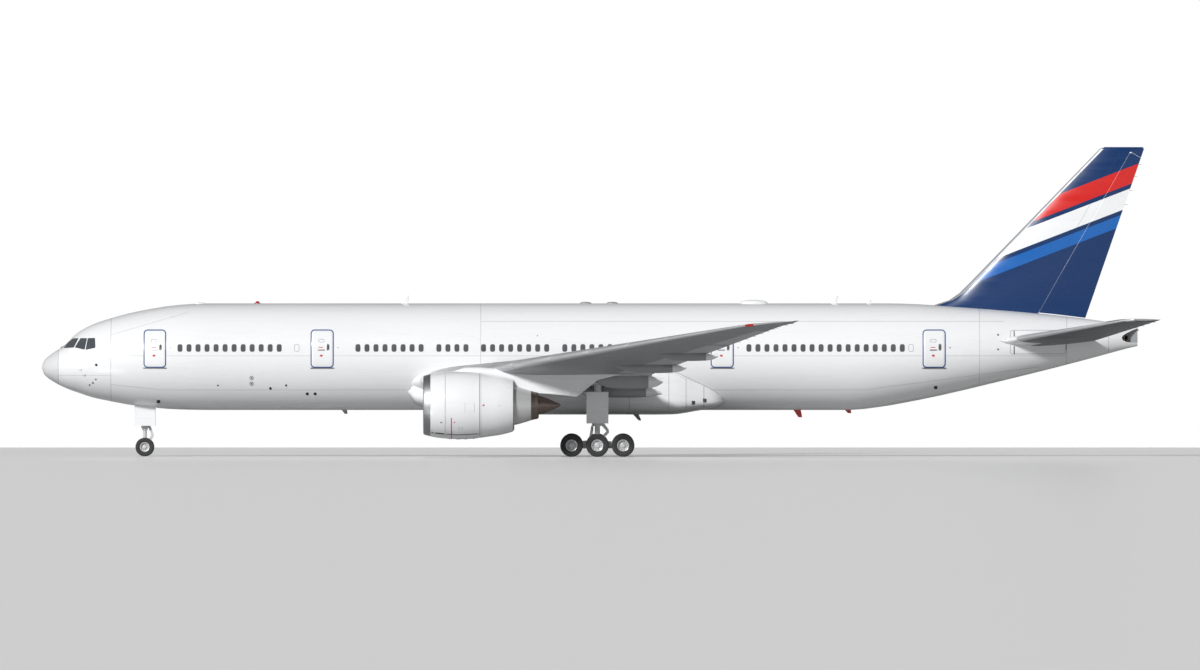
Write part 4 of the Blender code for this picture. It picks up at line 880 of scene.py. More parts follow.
# Skin seams for line_mask: direction, distance along it, half width, and limits along other directions
FUSELAGE_SEAMS = (
    (STATION, 3.98, LINE),
    (STATION, 25.11, LINE, (HEIGHT, 5.29, 9.0)),
    (STATION, 53.6, LINE),
    (STATION, 58.6, LINE),
    (HEIGHT, 5.75, THIN_LINE, (STATION, 3.98, 58.6)),
    (HEIGHT, 3.80, THIN_LINE, (STATION, 7.0, 47.0)),
    (HEIGHT, 7.72, THIN_LINE, (STATION, 25.11, 55.0)),
    ((-0.13, 0.0, 0.991), 3.80 * 0.991 - 0.13 * 47.0, THIN_LINE, (STATION, 47.0, 57.0)),
    ((0.10, 0.0, 0.995), 3.80 * 0.995 + 0.10 * 7.0, THIN_LINE, (STATION, 3.98, 7.0)),
    ((-0.28, 0.0, 0.96), 6.95 * 0.96 - 0.28 * 3.98, FAINT_LINE, (STATION, 3.98, 8.4)),
    (HEIGHT, 4.62, FAINT_LINE, (STATION, 0.96, 3.98)),
)

materials = {}


def make_materials():
    materials["white"] = paint(
        "white_paint", WHITE, coat=0.35, tone=0.03, lines=FUSELAGE_SEAMS, line_strength=0.42,
        line_colour=(0.25, 0.26, 0.27),
    )
    materials["plain_white"] = paint("plain_white_paint", WHITE, coat=0.35, tone=0.03)
    # The radome is painted grey, and its grey is darkened further as painted shade on the nose
    materials["radome"] = paint("radome_paint", (0.63, 0.64, 0.65), rough=(0.32, 0.45), tone=0.04)
    materials["grey"] = paint("grey_paint", GREY, rough=(0.32, 0.5), tone=0.10)
    # The darker grey of the tailplane's underside is painted shade
    materials["shaded_underside_grey"] = paint("underside_painted_shade_grey", SHADED_UNDERSIDE_GREY, rough=(0.35, 0.5), tone=0.08)
    materials["light_grey"] = paint("light_grey_paint", (0.50, 0.515, 0.53), rough=(0.3, 0.45), tone=0.07)
    materials["seam"] = matt("dark_seam", (0.05, 0.052, 0.055))
    materials["soft_seam"] = matt("soft_seam", (0.30, 0.31, 0.32))
    materials["sill"] = metal("sill_metal", (0.30, 0.31, 0.32), rough=(0.35, 0.5))
    materials["outline_blue"] = paint("outline_blue", (0.018, 0.070, 0.23), tone=0.05)
    materials["mark_red"] = paint("mark_red", (0.55, 0.03, 0.025), tone=0.08)
    materials["glass"] = glassy("dark_glass", (0.062, 0.070, 0.082))
    materials["window"] = glassy("window_glass", (0.095, 0.098, 0.102), rough=(0.08, 0.16), coat=0.2)
    materials["window_frame"] = metal("window_frame", (0.30, 0.31, 0.32), rough=(0.35, 0.5))
    materials["lip_metal"] = metal("lip_metal", (0.40, 0.41, 0.42), rough=(0.42, 0.54), tone=0.08)
    materials["fin_edge"] = paint("fin_edge", (0.30, 0.31, 0.33), rough=(0.40, 0.52), metallic=0.3, tone=0.06)
    materials["edge_metal"] = paint(
        "edge_metal", (0.52, 0.53, 0.54), rough=(0.34, 0.46), metallic=0.5, tone=0.06
    )
    materials["chrome"] = metal("chrome", (0.80, 0.81, 0.82), rough=(0.05, 0.12), tone=0.06)
    materials["liner"] = metal("inlet_liner", (0.46, 0.47, 0.48), rough=(0.4, 0.55), grain=(1, 1, 1), scale=9.0)
    materials["titanium"] = metal("titanium", (0.30, 0.31, 0.32), rough=(0.22, 0.38), tone=0.25)
    materials["core_metal"] = metal("core_metal", (0.46, 0.46, 0.46), rough=(0.25, 0.4), tone=0.2)
    materials["casing"] = paint("core_casing", (0.62, 0.62, 0.62), rough=(0.4, 0.5), metallic=0.5, tone=0.08)
    materials["hot"] = metal("hot_metal", (0.26, 0.21, 0.18), rough=(0.32, 0.5), tint=(0.17, 0.135, 0.125))
    materials["gear"] = paint("gear_paint", (0.56, 0.57, 0.58), rough=(0.25, 0.4), metallic=0.15, tone=0.12)
    materials["steel"] = metal("gear_steel", (0.45, 0.45, 0.46), rough=(0.25, 0.4), tone=0.3)
    materials["rubber"] = matt("tyre_rubber", (0.030, 0.030, 0.031), tone=0.4)
    materials["hose"] = matt("hose_rubber", (0.018, 0.018, 0.020), rough=(0.45, 0.6))
    materials["bay"] = paint("bay_primer", (0.42, 0.43, 0.40), rough=(0.5, 0.7), tone=0.25)
    materials["red_lens"] = glassy("red_lens", (0.45, 0.010, 0.008))
    materials["green_lens"] = glassy("green_lens", (0.012, 0.32, 0.05))
    materials["clear_lens"] = glassy("clear_lens", (0.62, 0.63, 0.64))
    # Near black for trim marks, and painted shade in holes, sunk middles of ports and vents, and the exhaust pipe
    materials["marks_and_hole_shade"] = matt("black_marks_and_painted_hole_shade", (0.012, 0.012, 0.013))
    materials["fin"] = paint(
        "fin_paint", DARK_BLUE, coat=0.1, tone=0.06, bands=fin_stripes(), lines=[fin_seam()],
        line_colour=(0.004, 0.010, 0.045), line_strength=0.35,
    )


def fin_stripes():
    """The direction across the straight stripes, and the distance at which each colour starts."""
    lowest = 10.55 * STRIPE_SLOPE[2] + 55.0 * STRIPE_SLOPE[0]
    return STRIPE_SLOPE, [(lowest + start, shade) for start, shade in STRIPES]


def fin_seam():
    """A seam parallel to the rudder's hinge and ahead of it."""
    across_hinge = Vector((1.0, 0.0, -RUDDER_HINGE_SLOPE)).normalized()
    foot, height = RUDDER_HINGE_FOOT
    distance = across_hinge.dot(Vector((foot - 0.62, 0, height)))
    return (tuple(across_hinge), distance, 0.014, (HEIGHT, 9.4, 17.3))


# Placing pieces

def settle(obj, body, finishes, stands_for=(), angle=32):
    """Brings a piece from full-size metres to the frame, and puts it on its body. Edges sharper than the
    angle stay sharp."""
    mesh = obj.data
    mesh.transform(TO_MODEL)
    # Clearing the materials resets the faces' numbers, so that they are set again
    numbers = np.zeros(len(mesh.polygons), dtype=np.int32)
    mesh.polygons.foreach_get("material_index", numbers)
    mesh.materials.clear()
    for finish in finishes:
        mesh.materials.append(materials[finish])
    mesh.polygons.foreach_set("material_index", numbers)
    mesh.shade_smooth()
    mesh.set_sharp_from_angle(angle=math.radians(angle))
    mesh.name = obj.name
    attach(obj, body)
    if stands_for:
        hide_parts(*stands_for)


def to_port(obj):
    """Moves a starboard piece to the port side."""
    name = obj.name
    twin = mirrored(obj, name + "_twin")
    bpy.data.objects.remove(obj)
    twin.name = name
    return twin


def settle_both(obj, base, body, finishes, stands_for=(), angle=32):
    """A starboard piece and its port twin. Names and bodies that differ by side hold {side}."""
    twin = mirrored(obj, base.format(side="left"))
    obj.name = base.format(side="right")
    for piece, side in ((obj, "right"), (twin, "left")):
        nodes = [node.format(side=side) for node in stands_for]
        settle(piece, body.format(side=side), finishes, nodes, angle)


def fit_both(shape, kind, finishes):
    """Both sides' pieces of a shape that rides on the airframe and stands for no node."""
    settle_both(shape.made(), "{side}_" + kind, "airframe", finishes)


# Fuselage pieces

def mark_inside(obj, slot):
    """Gives the walls of a body's pockets and wells, which lie inside its skin, another finish. Every end wall but
    one at the tail's very end takes it too."""
    for polygon in obj.data.polygons:
        station, span, height = polygon.center
        crown, keel, widest, half_width = skin_row(station)
        reach = crown - widest if height > widest else widest - keel
        if station < TAIL_END - 0.01 and math.hypot(span / half_width, (height - widest) / reach) < INSIDE_PART:
            polygon.material_index = slot


def fuselage():
    body = skin_part("fuselage_skin", RADOME_SPLIT + SHUT / 2, CONE_SPLIT - SHUT / 2)
    for first, last in CARGO_DOORS.values():
        angles = (CARGO_BOTTOM_ANGLE - 0.25, CARGO_TOP_ANGLE + 0.6)
        radii = (BARREL_RADIUS - CARGO_DEPTH - SHUT, BARREL_RADIUS + 1)
        cut(body, arc_sector("pocket", (first - SHUT, last + SHUT), angles, radii))
    stations, half_width, ceiling = NOSE_WELL
    cut(body, box("well", stations, (-half_width, half_width), (1.0, ceiling)))
    mark_inside(body, 1)
    settle(body, "airframe", ["white", "bay"], ["fuselage"])
    radome = skin_part("radome_skin", 0.0, RADOME_SPLIT - SHUT / 2)
    settle(radome, "airframe", ["radome"], ["radome"])


def tail_cone():
    cone = skin_part("tail_cone_skin", CONE_SPLIT + SHUT / 2, TAIL_END)
    cut(cone, prism("recess", EXHAUST_RECESS, *EXHAUST_RECESS_SPANS, "Y"))
    mark_inside(cone, 1)
    settle(cone, "airframe", ["plain_white", "grey"], ["tail_cone"])
    start, end = EXHAUST_PIPE
    length = (end - start).length
    axis = (end - start).normalized()
    profile = [(0.0, 0.185), (length - 0.08, 0.185), (length - 0.02, 0.19), (length, 0.187)]
    profile += [(length, 0.158), (0.0, 0.15)]
    exhaust = Shape("exhaust_pipe").add_turned(profile, start, axis, 48, [0, 0, 1, 1, 2, 2])
    # The pipe's inner wall is near black, partly soot and partly painted shade, and the disc deep inside is painted
    # shade
    exhaust.add_turned([(0.28, 0.0), (0.28, 0.155), (0.30, 0.155), (0.30, 0.0)], start, axis, 48, 2)
    settle(exhaust.made(), "airframe", ["core_metal", "hot", "marks_and_hole_shade"])


def barrel_point(radius, turn):
    """Span and height of a place on the barrel, at a turn above its starboard side."""
    return radius * math.cos(turn), BARREL_HEIGHT + radius * math.sin(turn)


def arc_sector(name, stations, angles, radii):
    """A stretch of the barrel's wall: angles in degrees above the starboard side, between two radii."""
    turns = np.radians(np.linspace(*angles, 25))
    inner = [barrel_point(radii[0], turn) for turn in turns]
    outer = [barrel_point(radii[1], turn) for turn in turns[::-1]]
    return prism(name, inner + outer, *stations, "X")


def window_outline(station):
    return oval((station, WINDOW_HEIGHT), *WINDOW_SIZE, 24, WINDOW_SQUARENESS)


def cabin_windows():
    shape = Shape("right_cabin_windows")
    profile = ((1.0, -0.02), (1.0, 0.008), (0.97, 0.011), (0.95, 0.011), (0.92, 0.004), (0.4, 0.005), (0.02, 0.005))
    for first, count in WINDOW_ROWS:
        for index in range(count):
            add_patch(shape, window_outline(first + index * WINDOW_PITCH), profile, on_side, [0, 0, 0, 0, 1, 1])
    fit_both(shape, "cabin_windows", ["window_frame", "window"])
    blanks = Shape("right_blank_windows")
    for station in BLANK_WINDOWS:
        add_band(blanks, window_outline(station), -0.022, on_side, 0)
    fit_both(blanks, "blank_windows", ["soft_seam"])


def cabin_doors():
    finishes = ["plain_white", "outline_blue", "window_frame", "window", "soft_seam", "mark_red", "sill"]
    for number, (first, last) in enumerate(CABIN_DOORS, start=1):
        shape = Shape("door")
        leaf = rounded_rectangle((first, DOOR_SILL), (last, DOOR_HEAD), DOOR_CORNER)
        profile = [(1.0, -0.05), (1.0, 0.004), (0.985, 0.009)]
        profile += [(part, 0.010) for part in (0.8, 0.6, 0.4, 0.2, 0.02)]
        add_patch(shape, leaf, profile, on_side, 0)
        add_band(shape, leaf, 0.062, on_side, 1, height=0.008)
        profile = ((1.0, -0.01), (1.0, 0.016), (0.82, 0.018), (0.76, 0.012), (0.02, 0.012))
        add_patch(shape, oval((last - 0.27, 6.24), 0.085, 0.19, 20, 3.5), profile, on_side, [2, 2, 2, 3])
        middle = first + 0.46 * (last - first)
        add_band(shape, oval((middle, 6.61), 0.18, 0.095, 20, 3.0), -0.025, on_side, 4, height=0.013)
        sill = rounded_rectangle((first - 0.08, DOOR_SILL - 0.10), (last + 0.08, DOOR_SILL - 0.045), 0.02, 2, 4)
        for outline, profile, slot in (
            (oval((middle, 6.08), 0.22, 0.035, 16, 4.0), plate(0.022, 0.024), 2),
            (oval((middle - 0.02, 6.23), 0.15, 0.022, 12, 4.0), plate(0.014, 0.014), 5),
            (oval((middle, 5.76), 0.085, 0.06, 16), plate(0.014, 0.014), 5),
            (sill, ((1.0, -0.02), (1.0, 0.03), (0.9, 0.035), (0.02, 0.035)), 6),
            (oval((last + 0.30, 6.22), 0.035, 0.035, 12), plate(0.02, 0.024), 2),
        ):
            add_patch(shape, outline, profile, on_side, slot)
        node = "{side}_cabin_door_" + str(number)
        settle_both(shape.made(), node + "_panel", "airframe", finishes, [node])


def on_barrel(station, degrees, offset):
    """A place on the barrel's starboard side, at an angle above its middle."""
    return Vector((station, *barrel_point(BARREL_RADIUS + offset, math.radians(degrees))))


def cargo_doors():
    for name, (first, last) in CARGO_DOORS.items():
        cargo_leaf(name, first, last)
        cargo_ribs(name, first, last)
        trim = Shape(name + "_trim")
        handle = oval(((first + last) / 2, CARGO_BOTTOM_ANGLE + 6), 0.17, 1.3, 20, 4.0)
        add_patch(trim, handle, plate(0.005, 0.006), on_barrel, 1)
        cover = oval((first + 0.45, CARGO_TOP_ANGLE - 9), 0.14, 2.6, 20, 4.0)
        add_band(trim, cover, 0.02, on_barrel, 0, height=0.004)
        settle(trim.made(), name + "_leaf", ["soft_seam", "window_frame"])


def cargo_leaf(name, first, last):
    """A door's leaf with a hinge pin at each end."""
    radii = (BARREL_RADIUS - CARGO_DEPTH, BARREL_RADIUS)
    door = arc_sector(name + "_leaf", (first, last), (CARGO_BOTTOM_ANGLE, CARGO_TOP_ANGLE), radii)
    hinge_radius = BARREL_RADIUS - CARGO_HINGE_DEPTH
    hinge = barrel_point(hinge_radius, math.radians(CARGO_TOP_ANGLE) - CARGO_HINGE_DEPTH / hinge_radius)
    for end, way in ((first, -1), (last, 1)):
        join(door, rod((end - way * 0.1, *hinge), (end + way * 0.06, *hinge), CARGO_PIN_RADIUS, 12))
    settle(door, name + "_leaf", ["plain_white"], [name])


def cargo_ribs(name, first, last):
    """Ribs on a door's inner face."""
    core = BARREL_RADIUS - CARGO_DEPTH
    section = ((core - 0.008, -0.03), (core + 0.02, -0.03), (core + 0.02, 0.03), (core - 0.008, 0.03))
    ribs = Shape(name + "_ribs")
    for station in np.linspace(first + 0.25, last - 0.25, CARGO_RIBS):
        rings = []
        for turn in np.radians(np.linspace(CARGO_BOTTOM_ANGLE + 2, CARGO_TOP_ANGLE - 2, 13)):
            rings.append([Vector((station + shift, *barrel_point(radius, turn))) for radius, shift in section])
        ribs.add_rings(rings, 0)
    settle(ribs.made(), name + "_leaf", ["bay"])


def pane_outline(corners):
    """A pane's outline, with small round corners and each side in equal pieces."""
    points = [Vector(corner) for corner in corners]
    outline = []
    for before, point, after in zip(points[-1:] + points[:-1], points, points[1:] + points[:1]):
        enter = point + (before - point).normalized() * PANE_CORNER
        leave = point + (after - point).normalized() * PANE_CORNER
        for t in (step / 3 for step in range(4)):
            outline.append(tuple(enter * (1 - t) ** 2 + point * 2 * t * (1 - t) + leave * t * t))
        onward = after + (point - after).normalized() * PANE_CORNER
        outline += [tuple(leave + (onward - leave) * step / PANE_SIDES) for step in range(1, PANE_SIDES)]
    return outline


def turn_at(station, height):
    """The angle from the crown of the skin's point at a height, and never quite on the middle line."""
    crown, _, widest, half_width = skin_row(station)
    turn = math.acos(min((height - widest) / (crown - widest), 1.0))
    return math.degrees(max(turn, math.asin(CENTRE_POST / half_width)))


def cockpit():
    """Dark panes in dark frames on the nose's own curve, and the wiper."""
    shape = Shape("right_cockpit_panes")
    profile = ((1.0, -0.05), (1.0, 0.006), (0.95, 0.012), (0.93, 0.006))
    profile += ((0.7, 0.008), (0.45, 0.009), (0.2, 0.009), (0.02, 0.009))
    for corners in PANES:
        outline = [(station, turn_at(station, height)) for station, height in pane_outline(corners)]
        add_patch(shape, outline, profile, on_turn, [1, 1, 1, 0, 0, 0, 0])
    start, end = np.array(WIPER)
    path = [on_turn(*(start + (end - start) * step / 8), 0.035) for step in range(9)]
    shape.add_tube(path, 0.014, 1, 8)
    shape.add_tube([on_turn(*start, -0.03), on_turn(*start, 0.04)], 0.03, 1, 12)
    node = "cockpit_glazing"
    settle_both(shape.made(), "{side}_cockpit_panes", "airframe", ["glass", "seam"], [node])


# Lifting surfaces

def half_thickness(fraction, thickness, chord):
    """Half the depth of the aerofoil at a fraction of its chord."""
    shape = (
        0.2969 * math.sqrt(fraction)
        - 0.1260 * fraction
        - 0.3516 * fraction**2
        + 0.2843 * fraction**3
        - 0.1015 * fraction**4
    )
    return max(5 * thickness * chord * shape, EDGE_HALF_THICKNESS if fraction > 0.5 else 0)


def camber_height(fraction, camber, chord):
    return 4 * camber * fraction * (1 - fraction) * chord


def section_point(leading, trailing, thickness, thick_way, camber, fraction, side, offset=0.0):
    chord = (trailing - leading).length
    rise = side * (half_thickness(fraction, thickness, chord) + offset) + camber_height(fraction, camber, chord)
    return leading + (trailing - leading) * fraction + thick_way * rise


def chord_fractions():
    """From the trailing edge to the leading edge, closer together towards the nose."""
    return [0.5 * (1 + math.cos(math.pi * step / CHORD_STEPS)) for step in range(CHORD_STEPS)]


def aerofoil_ring(leading, trailing, thickness, thick_way, camber=0.0):
    fractions = chord_fractions()
    sections = [(fraction, 1) for fraction in fractions] + [(0.0, 0)]
    sections += [(fraction, -1) for fraction in reversed(fractions)]
    return [
        section_point(leading, trailing, thickness, thick_way, camber, fraction, side)
        for fraction, side in sections
    ]


def edges_at(lines, span):
    _, lead_x, lead_z, trail_x, trail_z, thickness = straight_row(lines, span)
    return Vector((lead_x, span, lead_z)), Vector((trail_x, span, trail_z)), thickness


def lifting_surface(name, lines, spans, camber=0.0):
    return loft(name, [aerofoil_ring(*edges_at(lines, span), UP, camber) for span in spans])


WING_SPANS = sorted([WHITE_ROOT_SPAN, *(row[0] for row in WING_LINES)])
STABILISER_SPANS = sorted([LIGHT_ROOT_SPAN, *(row[0] for row in STABILISER_LINES)])
FIN_HEIGHTS = [row[0] for row in FIN_LINES]


def facet_point(leading, trailing, thickness, thick_way, camber, fraction, side, offset):
    """A point on the flat facets of a lofted section, or at a height off them."""
    stops = [0.0, *reversed(chord_fractions())]
    after = min(int(np.searchsorted(stops, fraction, "right")), len(stops) - 1)
    part = (fraction - stops[after - 1]) / (stops[after] - stops[after - 1])
    before = max(after - 2, 0) if part == 0 else after - 1
    corners = [
        section_point(leading, trailing, thickness, thick_way, camber, stops[stop], side)
        for stop in (before, after - 1, after)
    ]
    ahead = (corners[2] - corners[0]).normalized()
    outwards = (thick_way * ahead.x - ALONG * ahead.dot(thick_way)) * side
    return corners[1].lerp(corners[2], part) + (-ALONG if fraction == 0 else outwards) * offset


def on_loft(edges, stops, thick_way, camber=0.0):
    """Finds places on a lofted surface, whose rings stand at these stops: how far out, the chord fraction,
    the side, 1 above and -1 below, and the height off it."""
    def place(out, fraction, side, offset):
        after = min(max(int(np.searchsorted(stops, out)), 1), len(stops) - 1)
        near, far = [
            facet_point(*edges(stops[stop]), thick_way, camber, fraction, side, offset)
            for stop in (after - 1, after)
        ]
        return near.lerp(far, (out - stops[after - 1]) / (stops[after] - stops[after - 1]))
    return place


def hinge_end(lines, span, fraction, camber=0.0):
    """A hinge line's point in the middle of the surface's depth, and half that depth."""
    leading, trailing, thickness = edges_at(lines, span)
    chord = (trailing - leading).length
    middle = leading + (trailing - leading) * fraction + UP * camber_height(fraction, camber, chord)
    return middle, half_thickness(fraction, thickness, chord)


def hinge_frame(start, end):
    """The hinge line's direction, and the aft and upper directions square to it."""
    axis = (end - start).normalized()
    upper = ALONG.cross(axis).normalized()
    return axis, axis.cross(upper), upper


def section_behind_nose(radius, lips):
    """An outline round all that lies behind a round nose, whose skin starts a lip's width ahead."""
    upper_turn = math.acos(lips[0] / radius)
    lower_turn = math.acos(lips[1] / radius)
    outline = [(CUT_SLANT - lips[0], CUTTER_HEIGHT), (CUTTER_REACH, CUTTER_HEIGHT)]
    outline += [(CUTTER_REACH, -CUTTER_HEIGHT), (CUT_SLANT - lips[1], -CUTTER_HEIGHT)]
    for step in range(NOSE_ARC_STEPS + 1):
        turn = -lower_turn + (lower_turn + upper_turn) * step / NOSE_ARC_STEPS
        outline.append((-radius * math.cos(turn), radius * math.sin(turn)))
    return outline


def region_behind_hinge(hinge, ends, lips):
    """A solid through sections, each given by its hinge point and nose radius."""
    _, aft, upper = hinge
    rings = []
    for (centre, radius), end_lips in zip(ends, lips):
        section = section_behind_nose(radius, end_lips)
        rings.append([centre + aft * back + upper * rise for back, rise in section])
    return loft("region", rings)


def lip_widths(half, travel):
    """How far ahead of the hinge line the fixed skins end, above and below."""
    widths = []
    for degrees in travel:
        turn = math.radians(degrees)
        widths.append((half * (1 - math.cos(turn)) + SHUT) / math.sin(turn))
    return widths


def hinged_piece(name, whole, carriers, ends, travel, piece_trims=(), notch_trims=()):
    """Cuts a piece with a round nose off a whole surface, and its notch in what carries it."""
    hinge = hinge_frame(ends[0][0], ends[-1][0])
    axis = hinge[0]
    nose_ends = [(point, NOSE_PART * half) for point, half in ends]
    for index, neighbour, way in ((0, 1, 1), (-1, -2, -1)):
        part = SHUT / (ends[neighbour][0] - ends[index][0]).length
        half = ends[index][1] + (ends[neighbour][1] - ends[index][1]) * part
        nose_ends[index] = (ends[index][0] + axis * (way * SHUT), NOSE_PART * half)
    piece = region_behind_hinge(hinge, nose_ends, [(0, 0)] * len(ends))
    keep_inside(piece, copy_of(whole))
    cut(piece, *piece_trims)
    around_arc = math.cos(math.pi / (2 * NOSE_ARC_STEPS))
    notch_ends = [(point, (NOSE_PART * half + SHUT) / around_arc) for point, half in ends]
    lips = [lip_widths(half, travel) for _, half in ends]
    notch = region_behind_hinge(hinge, notch_ends, lips)
    cut(notch, *notch_trims)
    for carrier in carriers:
        cut(carrier, copy_of(notch))
    bpy.data.objects.remove(notch)
    piece.name = name
    return piece


def fixed_piece(name, whole, carrier, ends):
    """Cuts a piece that stays shut behind a straight cut, off a whole surface and out of its carrier."""
    (start, _), (end, _) = ends
    axis, aft, upper = hinge_frame(start, end)
    regions = []
    for front, side in ((FLAP_HALF_GAP, SHUT), (-FLAP_HALF_GAP, 0.0)):
        rings = []
        for centre in (start + axis * side, end - axis * side):
            corners = [(front, CUTTER_HEIGHT), (CUTTER_REACH, CUTTER_HEIGHT)]
            corners += [(CUTTER_REACH, -CUTTER_HEIGHT), (front, -CUTTER_HEIGHT)]
            rings.append([centre + aft * back + upper * rise for back, rise in corners])
        regions.append(loft("region", rings))
    cut(carrier, regions[1])
    piece = keep_inside(regions[0], copy_of(whole))
    piece.name = name
    return piece


def wing_ends(limits):
    return [hinge_end(WING_LINES, span, fraction, WING_CAMBER) for span, fraction in limits]


def wing_underside(station, span):
    leading, trailing, thickness = edges_at(WING_LINES, span)
    fraction = (station - leading.x) / (trailing.x - leading.x)
    return section_point(leading, trailing, thickness, UP, WING_CAMBER, fraction, -1).z


def on_side_of(place, side):
    """One side of a lofted surface, for patches: how far out, the chord fraction and the height off it."""
    return lambda out, fraction, offset: place(out, min(max(fraction, 0.0), 1.0), side, offset)


def strip_fractions(reach, furthest):
    """The loft's own chord fractions as far as a strip's furthest reach, squeezed in where this one is less."""
    stops = [stop for stop in sorted(chord_fractions()) if stop < furthest]
    squeezed = [min(stop, reach * (0.95 + 0.04 * index / len(stops))) for index, stop in enumerate(stops)]
    return [*squeezed, reach]


def edge_strip(shape, place, rows, slot=0, offset=0.010):
    """A thin shell round a leading edge. Its rows are how far out it is, and the chord fractions that it
    reaches above and below."""
    highest = max(above for _, above, _ in rows)
    lowest = max(below for _, _, below in rows)
    rings = []
    for out, above, below in rows:
        points = [(fraction, 1) for fraction in reversed(strip_fractions(above, highest))]
        points += [(0.0, 1)] + [(fraction, -1) for fraction in strip_fractions(below, lowest)]
        outer = [place(out, fraction, side, offset) for fraction, side in points]
        inner = [place(out, fraction, side, -0.012) for fraction, side in points]
        rings.append(outer + inner[::-1])
    return shape.add_rings(rings, slot)


def track_fairing(shape, span, first, last, bottom, half_width, tip):
    """The canoe-shaped housing of a flap track, with a light aft tip."""
    _, trailing, _ = wing_edges(span)
    rows = []
    aft_start = trailing.x - 0.5
    for part, size in TRACK_SECTIONS:
        station = first + (last - first) * part
        if station < aft_start:
            top = wing_underside(station, span) + 0.12
        else:
            drop = (station - aft_start) / (last - aft_start)
            top = trailing.z + (tip + TRACK_TIP_HALF_HEIGHT - trailing.z) * drop**2
        rows.append((station, top, top - (top - bottom) * size, half_width * (0.3 + 0.7 * size)))
    rings = []
    parts = np.linspace(0, 1, 33)
    for part in parts:
        station, top, low, breadth = smooth_row(rows, first + (last - first) * part)
        middle, half_height = (top + low) / 2, (top - low) / 2
        rings.append([
            Vector((station, span + breadth * math.sin(turn), middle + half_height * math.cos(turn)))
            for turn in around(28)
        ])
    shape.add_rings(rings, [1 if part > WHITE_TIP_PART else 0 for part in parts[1:]])


def wing_edges(span):
    return edges_at(WING_LINES, span)


def stabiliser_edges(span):
    return edges_at(STABILISER_LINES, span)


on_wing = on_loft(wing_edges, WING_SPANS, UP, WING_CAMBER)
on_stabiliser = on_loft(stabiliser_edges, STABILISER_SPANS, UP)


def whiten_root(wing):
    """The wing's root ahead of the flaps and its underside as far as the engine are white."""
    for polygon in wing.data.polygons:
        station, span, _ = polygon.center
        under = polygon.normal.z < 0.1 and span < WHITE_UNDERSIDE_SPAN
        if under or (span < WHITE_ROOT_SPAN and station < WHITE_ROOT_STATION):
            polygon.material_index = 1


def wings():
    whole = lifting_surface("whole_wing", WING_LINES, WING_SPANS, WING_CAMBER)
    wing = copy_of(whole, "right_wing_skin")
    pieces = {
        "inboard_flap": fixed_piece("flap", whole, wing, wing_ends(INBOARD_FLAP)),
        "outboard_flap": fixed_piece("flap", whole, wing, wing_ends(OUTBOARD_FLAP)),
        "flaperon": hinged_piece("flaperon", whole, [wing], wing_ends(FLAPERON), FLAPERON_TRAVEL),
        "aileron": hinged_piece("aileron", whole, [wing], wing_ends(AILERON), AILERON_TRAVEL),
    }
    for stations, spans, ceiling in GEAR_BAYS:
        cut(wing, box("bay", stations, spans, (1.0, ceiling)))
    whiten_root(wing)
    settle_both(wing, "{side}_wing_skin", "airframe", ["grey", "plain_white"], ["{side}_wing"])
    for kind, piece in pieces.items():
        node = "{side}_" + kind
        body = "airframe" if kind.endswith("flap") else node + "_body"
        settle_both(piece, node + "_skin", body, ["light_grey"], [node])
    bpy.data.objects.remove(whole)


def wing_details():
    """The track fairings, the slats' bare edges and the spoilers."""
    housings = Shape("tracks")
    for row in TRACK_FAIRINGS:
        track_fairing(housings, *row)
    fit_both(housings, "track_fairings", ["grey", "plain_white"])
    slats = Shape("slats")
    for inner, outer in zip(SLAT_STOPS, SLAT_STOPS[1:]):
        if inner != SLAT_GAP[0]:
            edge_strip(slats, on_wing, [(span, 0.085, 0.035) for span in (inner + 0.02, outer - 0.02)])
    edge_strip(slats, on_wing, [(span, 0.05, 0.03) for span in (SLAT_GAP[0] + 0.05, 9.6, SLAT_GAP[1] - 0.05)])
    edge_strip(slats, on_wing, [(span, 0.05, 0.04) for span in (30.2, 31.5, 32.36)])
    settle_both(slats.made(), "{side}_slats", "airframe", ["edge_metal"], angle=60)
    spoilers = Shape("spoilers")
    profile = ((1.0, -0.01), (1.0, 0.010), (0.99, 0.014), (0.5, 0.014), (0.02, 0.014))
    for inner, outer, front, back in SPOILERS:
        outline = rounded_rectangle((inner, front), (outer, back), 0.004, 1, 4)
        add_patch(spoilers, outline, profile, on_side_of(on_wing, 1), 0)
    settle_both(spoilers.made(), "{side}_spoilers", "airframe", ["light_grey"])


def paint_underside_shade(surface):
    """The underside is a darker grey that stands for painted shade, and the root's leading edge is white."""
    for polygon in surface.data.polygons:
        station, span, _ = polygon.center
        if span < LIGHT_ROOT_SPAN and station < LIGHT_ROOT_STATION:
            polygon.material_index = 2
        elif polygon.normal.z < -0.1:
            polygon.material_index = 1


def tailplane():
    whole = lifting_surface("whole_stabiliser", STABILISER_LINES, STABILISER_SPANS)
    stabiliser = copy_of(whole, "right_stabiliser_skin")
    ends = [hinge_end(STABILISER_LINES, span, fraction) for span, fraction in ELEVATOR]
    elevator = hinged_piece("right_elevator_skin", whole, [stabiliser], ends, ELEVATOR_TRAVEL)
    bpy.data.objects.remove(whole)
    # Both undersides take the darker grey as painted shade
    paint_underside_shade(stabiliser)
    paint_underside_shade(elevator)
    base = "{side}_stabiliser"
    settle_both(stabiliser, base + "_skin", "airframe", ["grey", "shaded_underside_grey", "plain_white"], [base])
    base = "{side}_elevator"
    settle_both(elevator, base + "_skin", base + "_body", ["light_grey", "shaded_underside_grey"], [base])
    strip = Shape("edge")
    edge_strip(strip, on_stabiliser, [(span, 0.055, 0.045) for span in (2.95, 10.36)])
    edge_strip(strip, on_stabiliser, [(span, 0.20, 0.18) for span in (10.40, 10.72)])
    settle_both(strip.made(), "{side}_stabiliser_edge", "airframe", ["edge_metal"], angle=60)


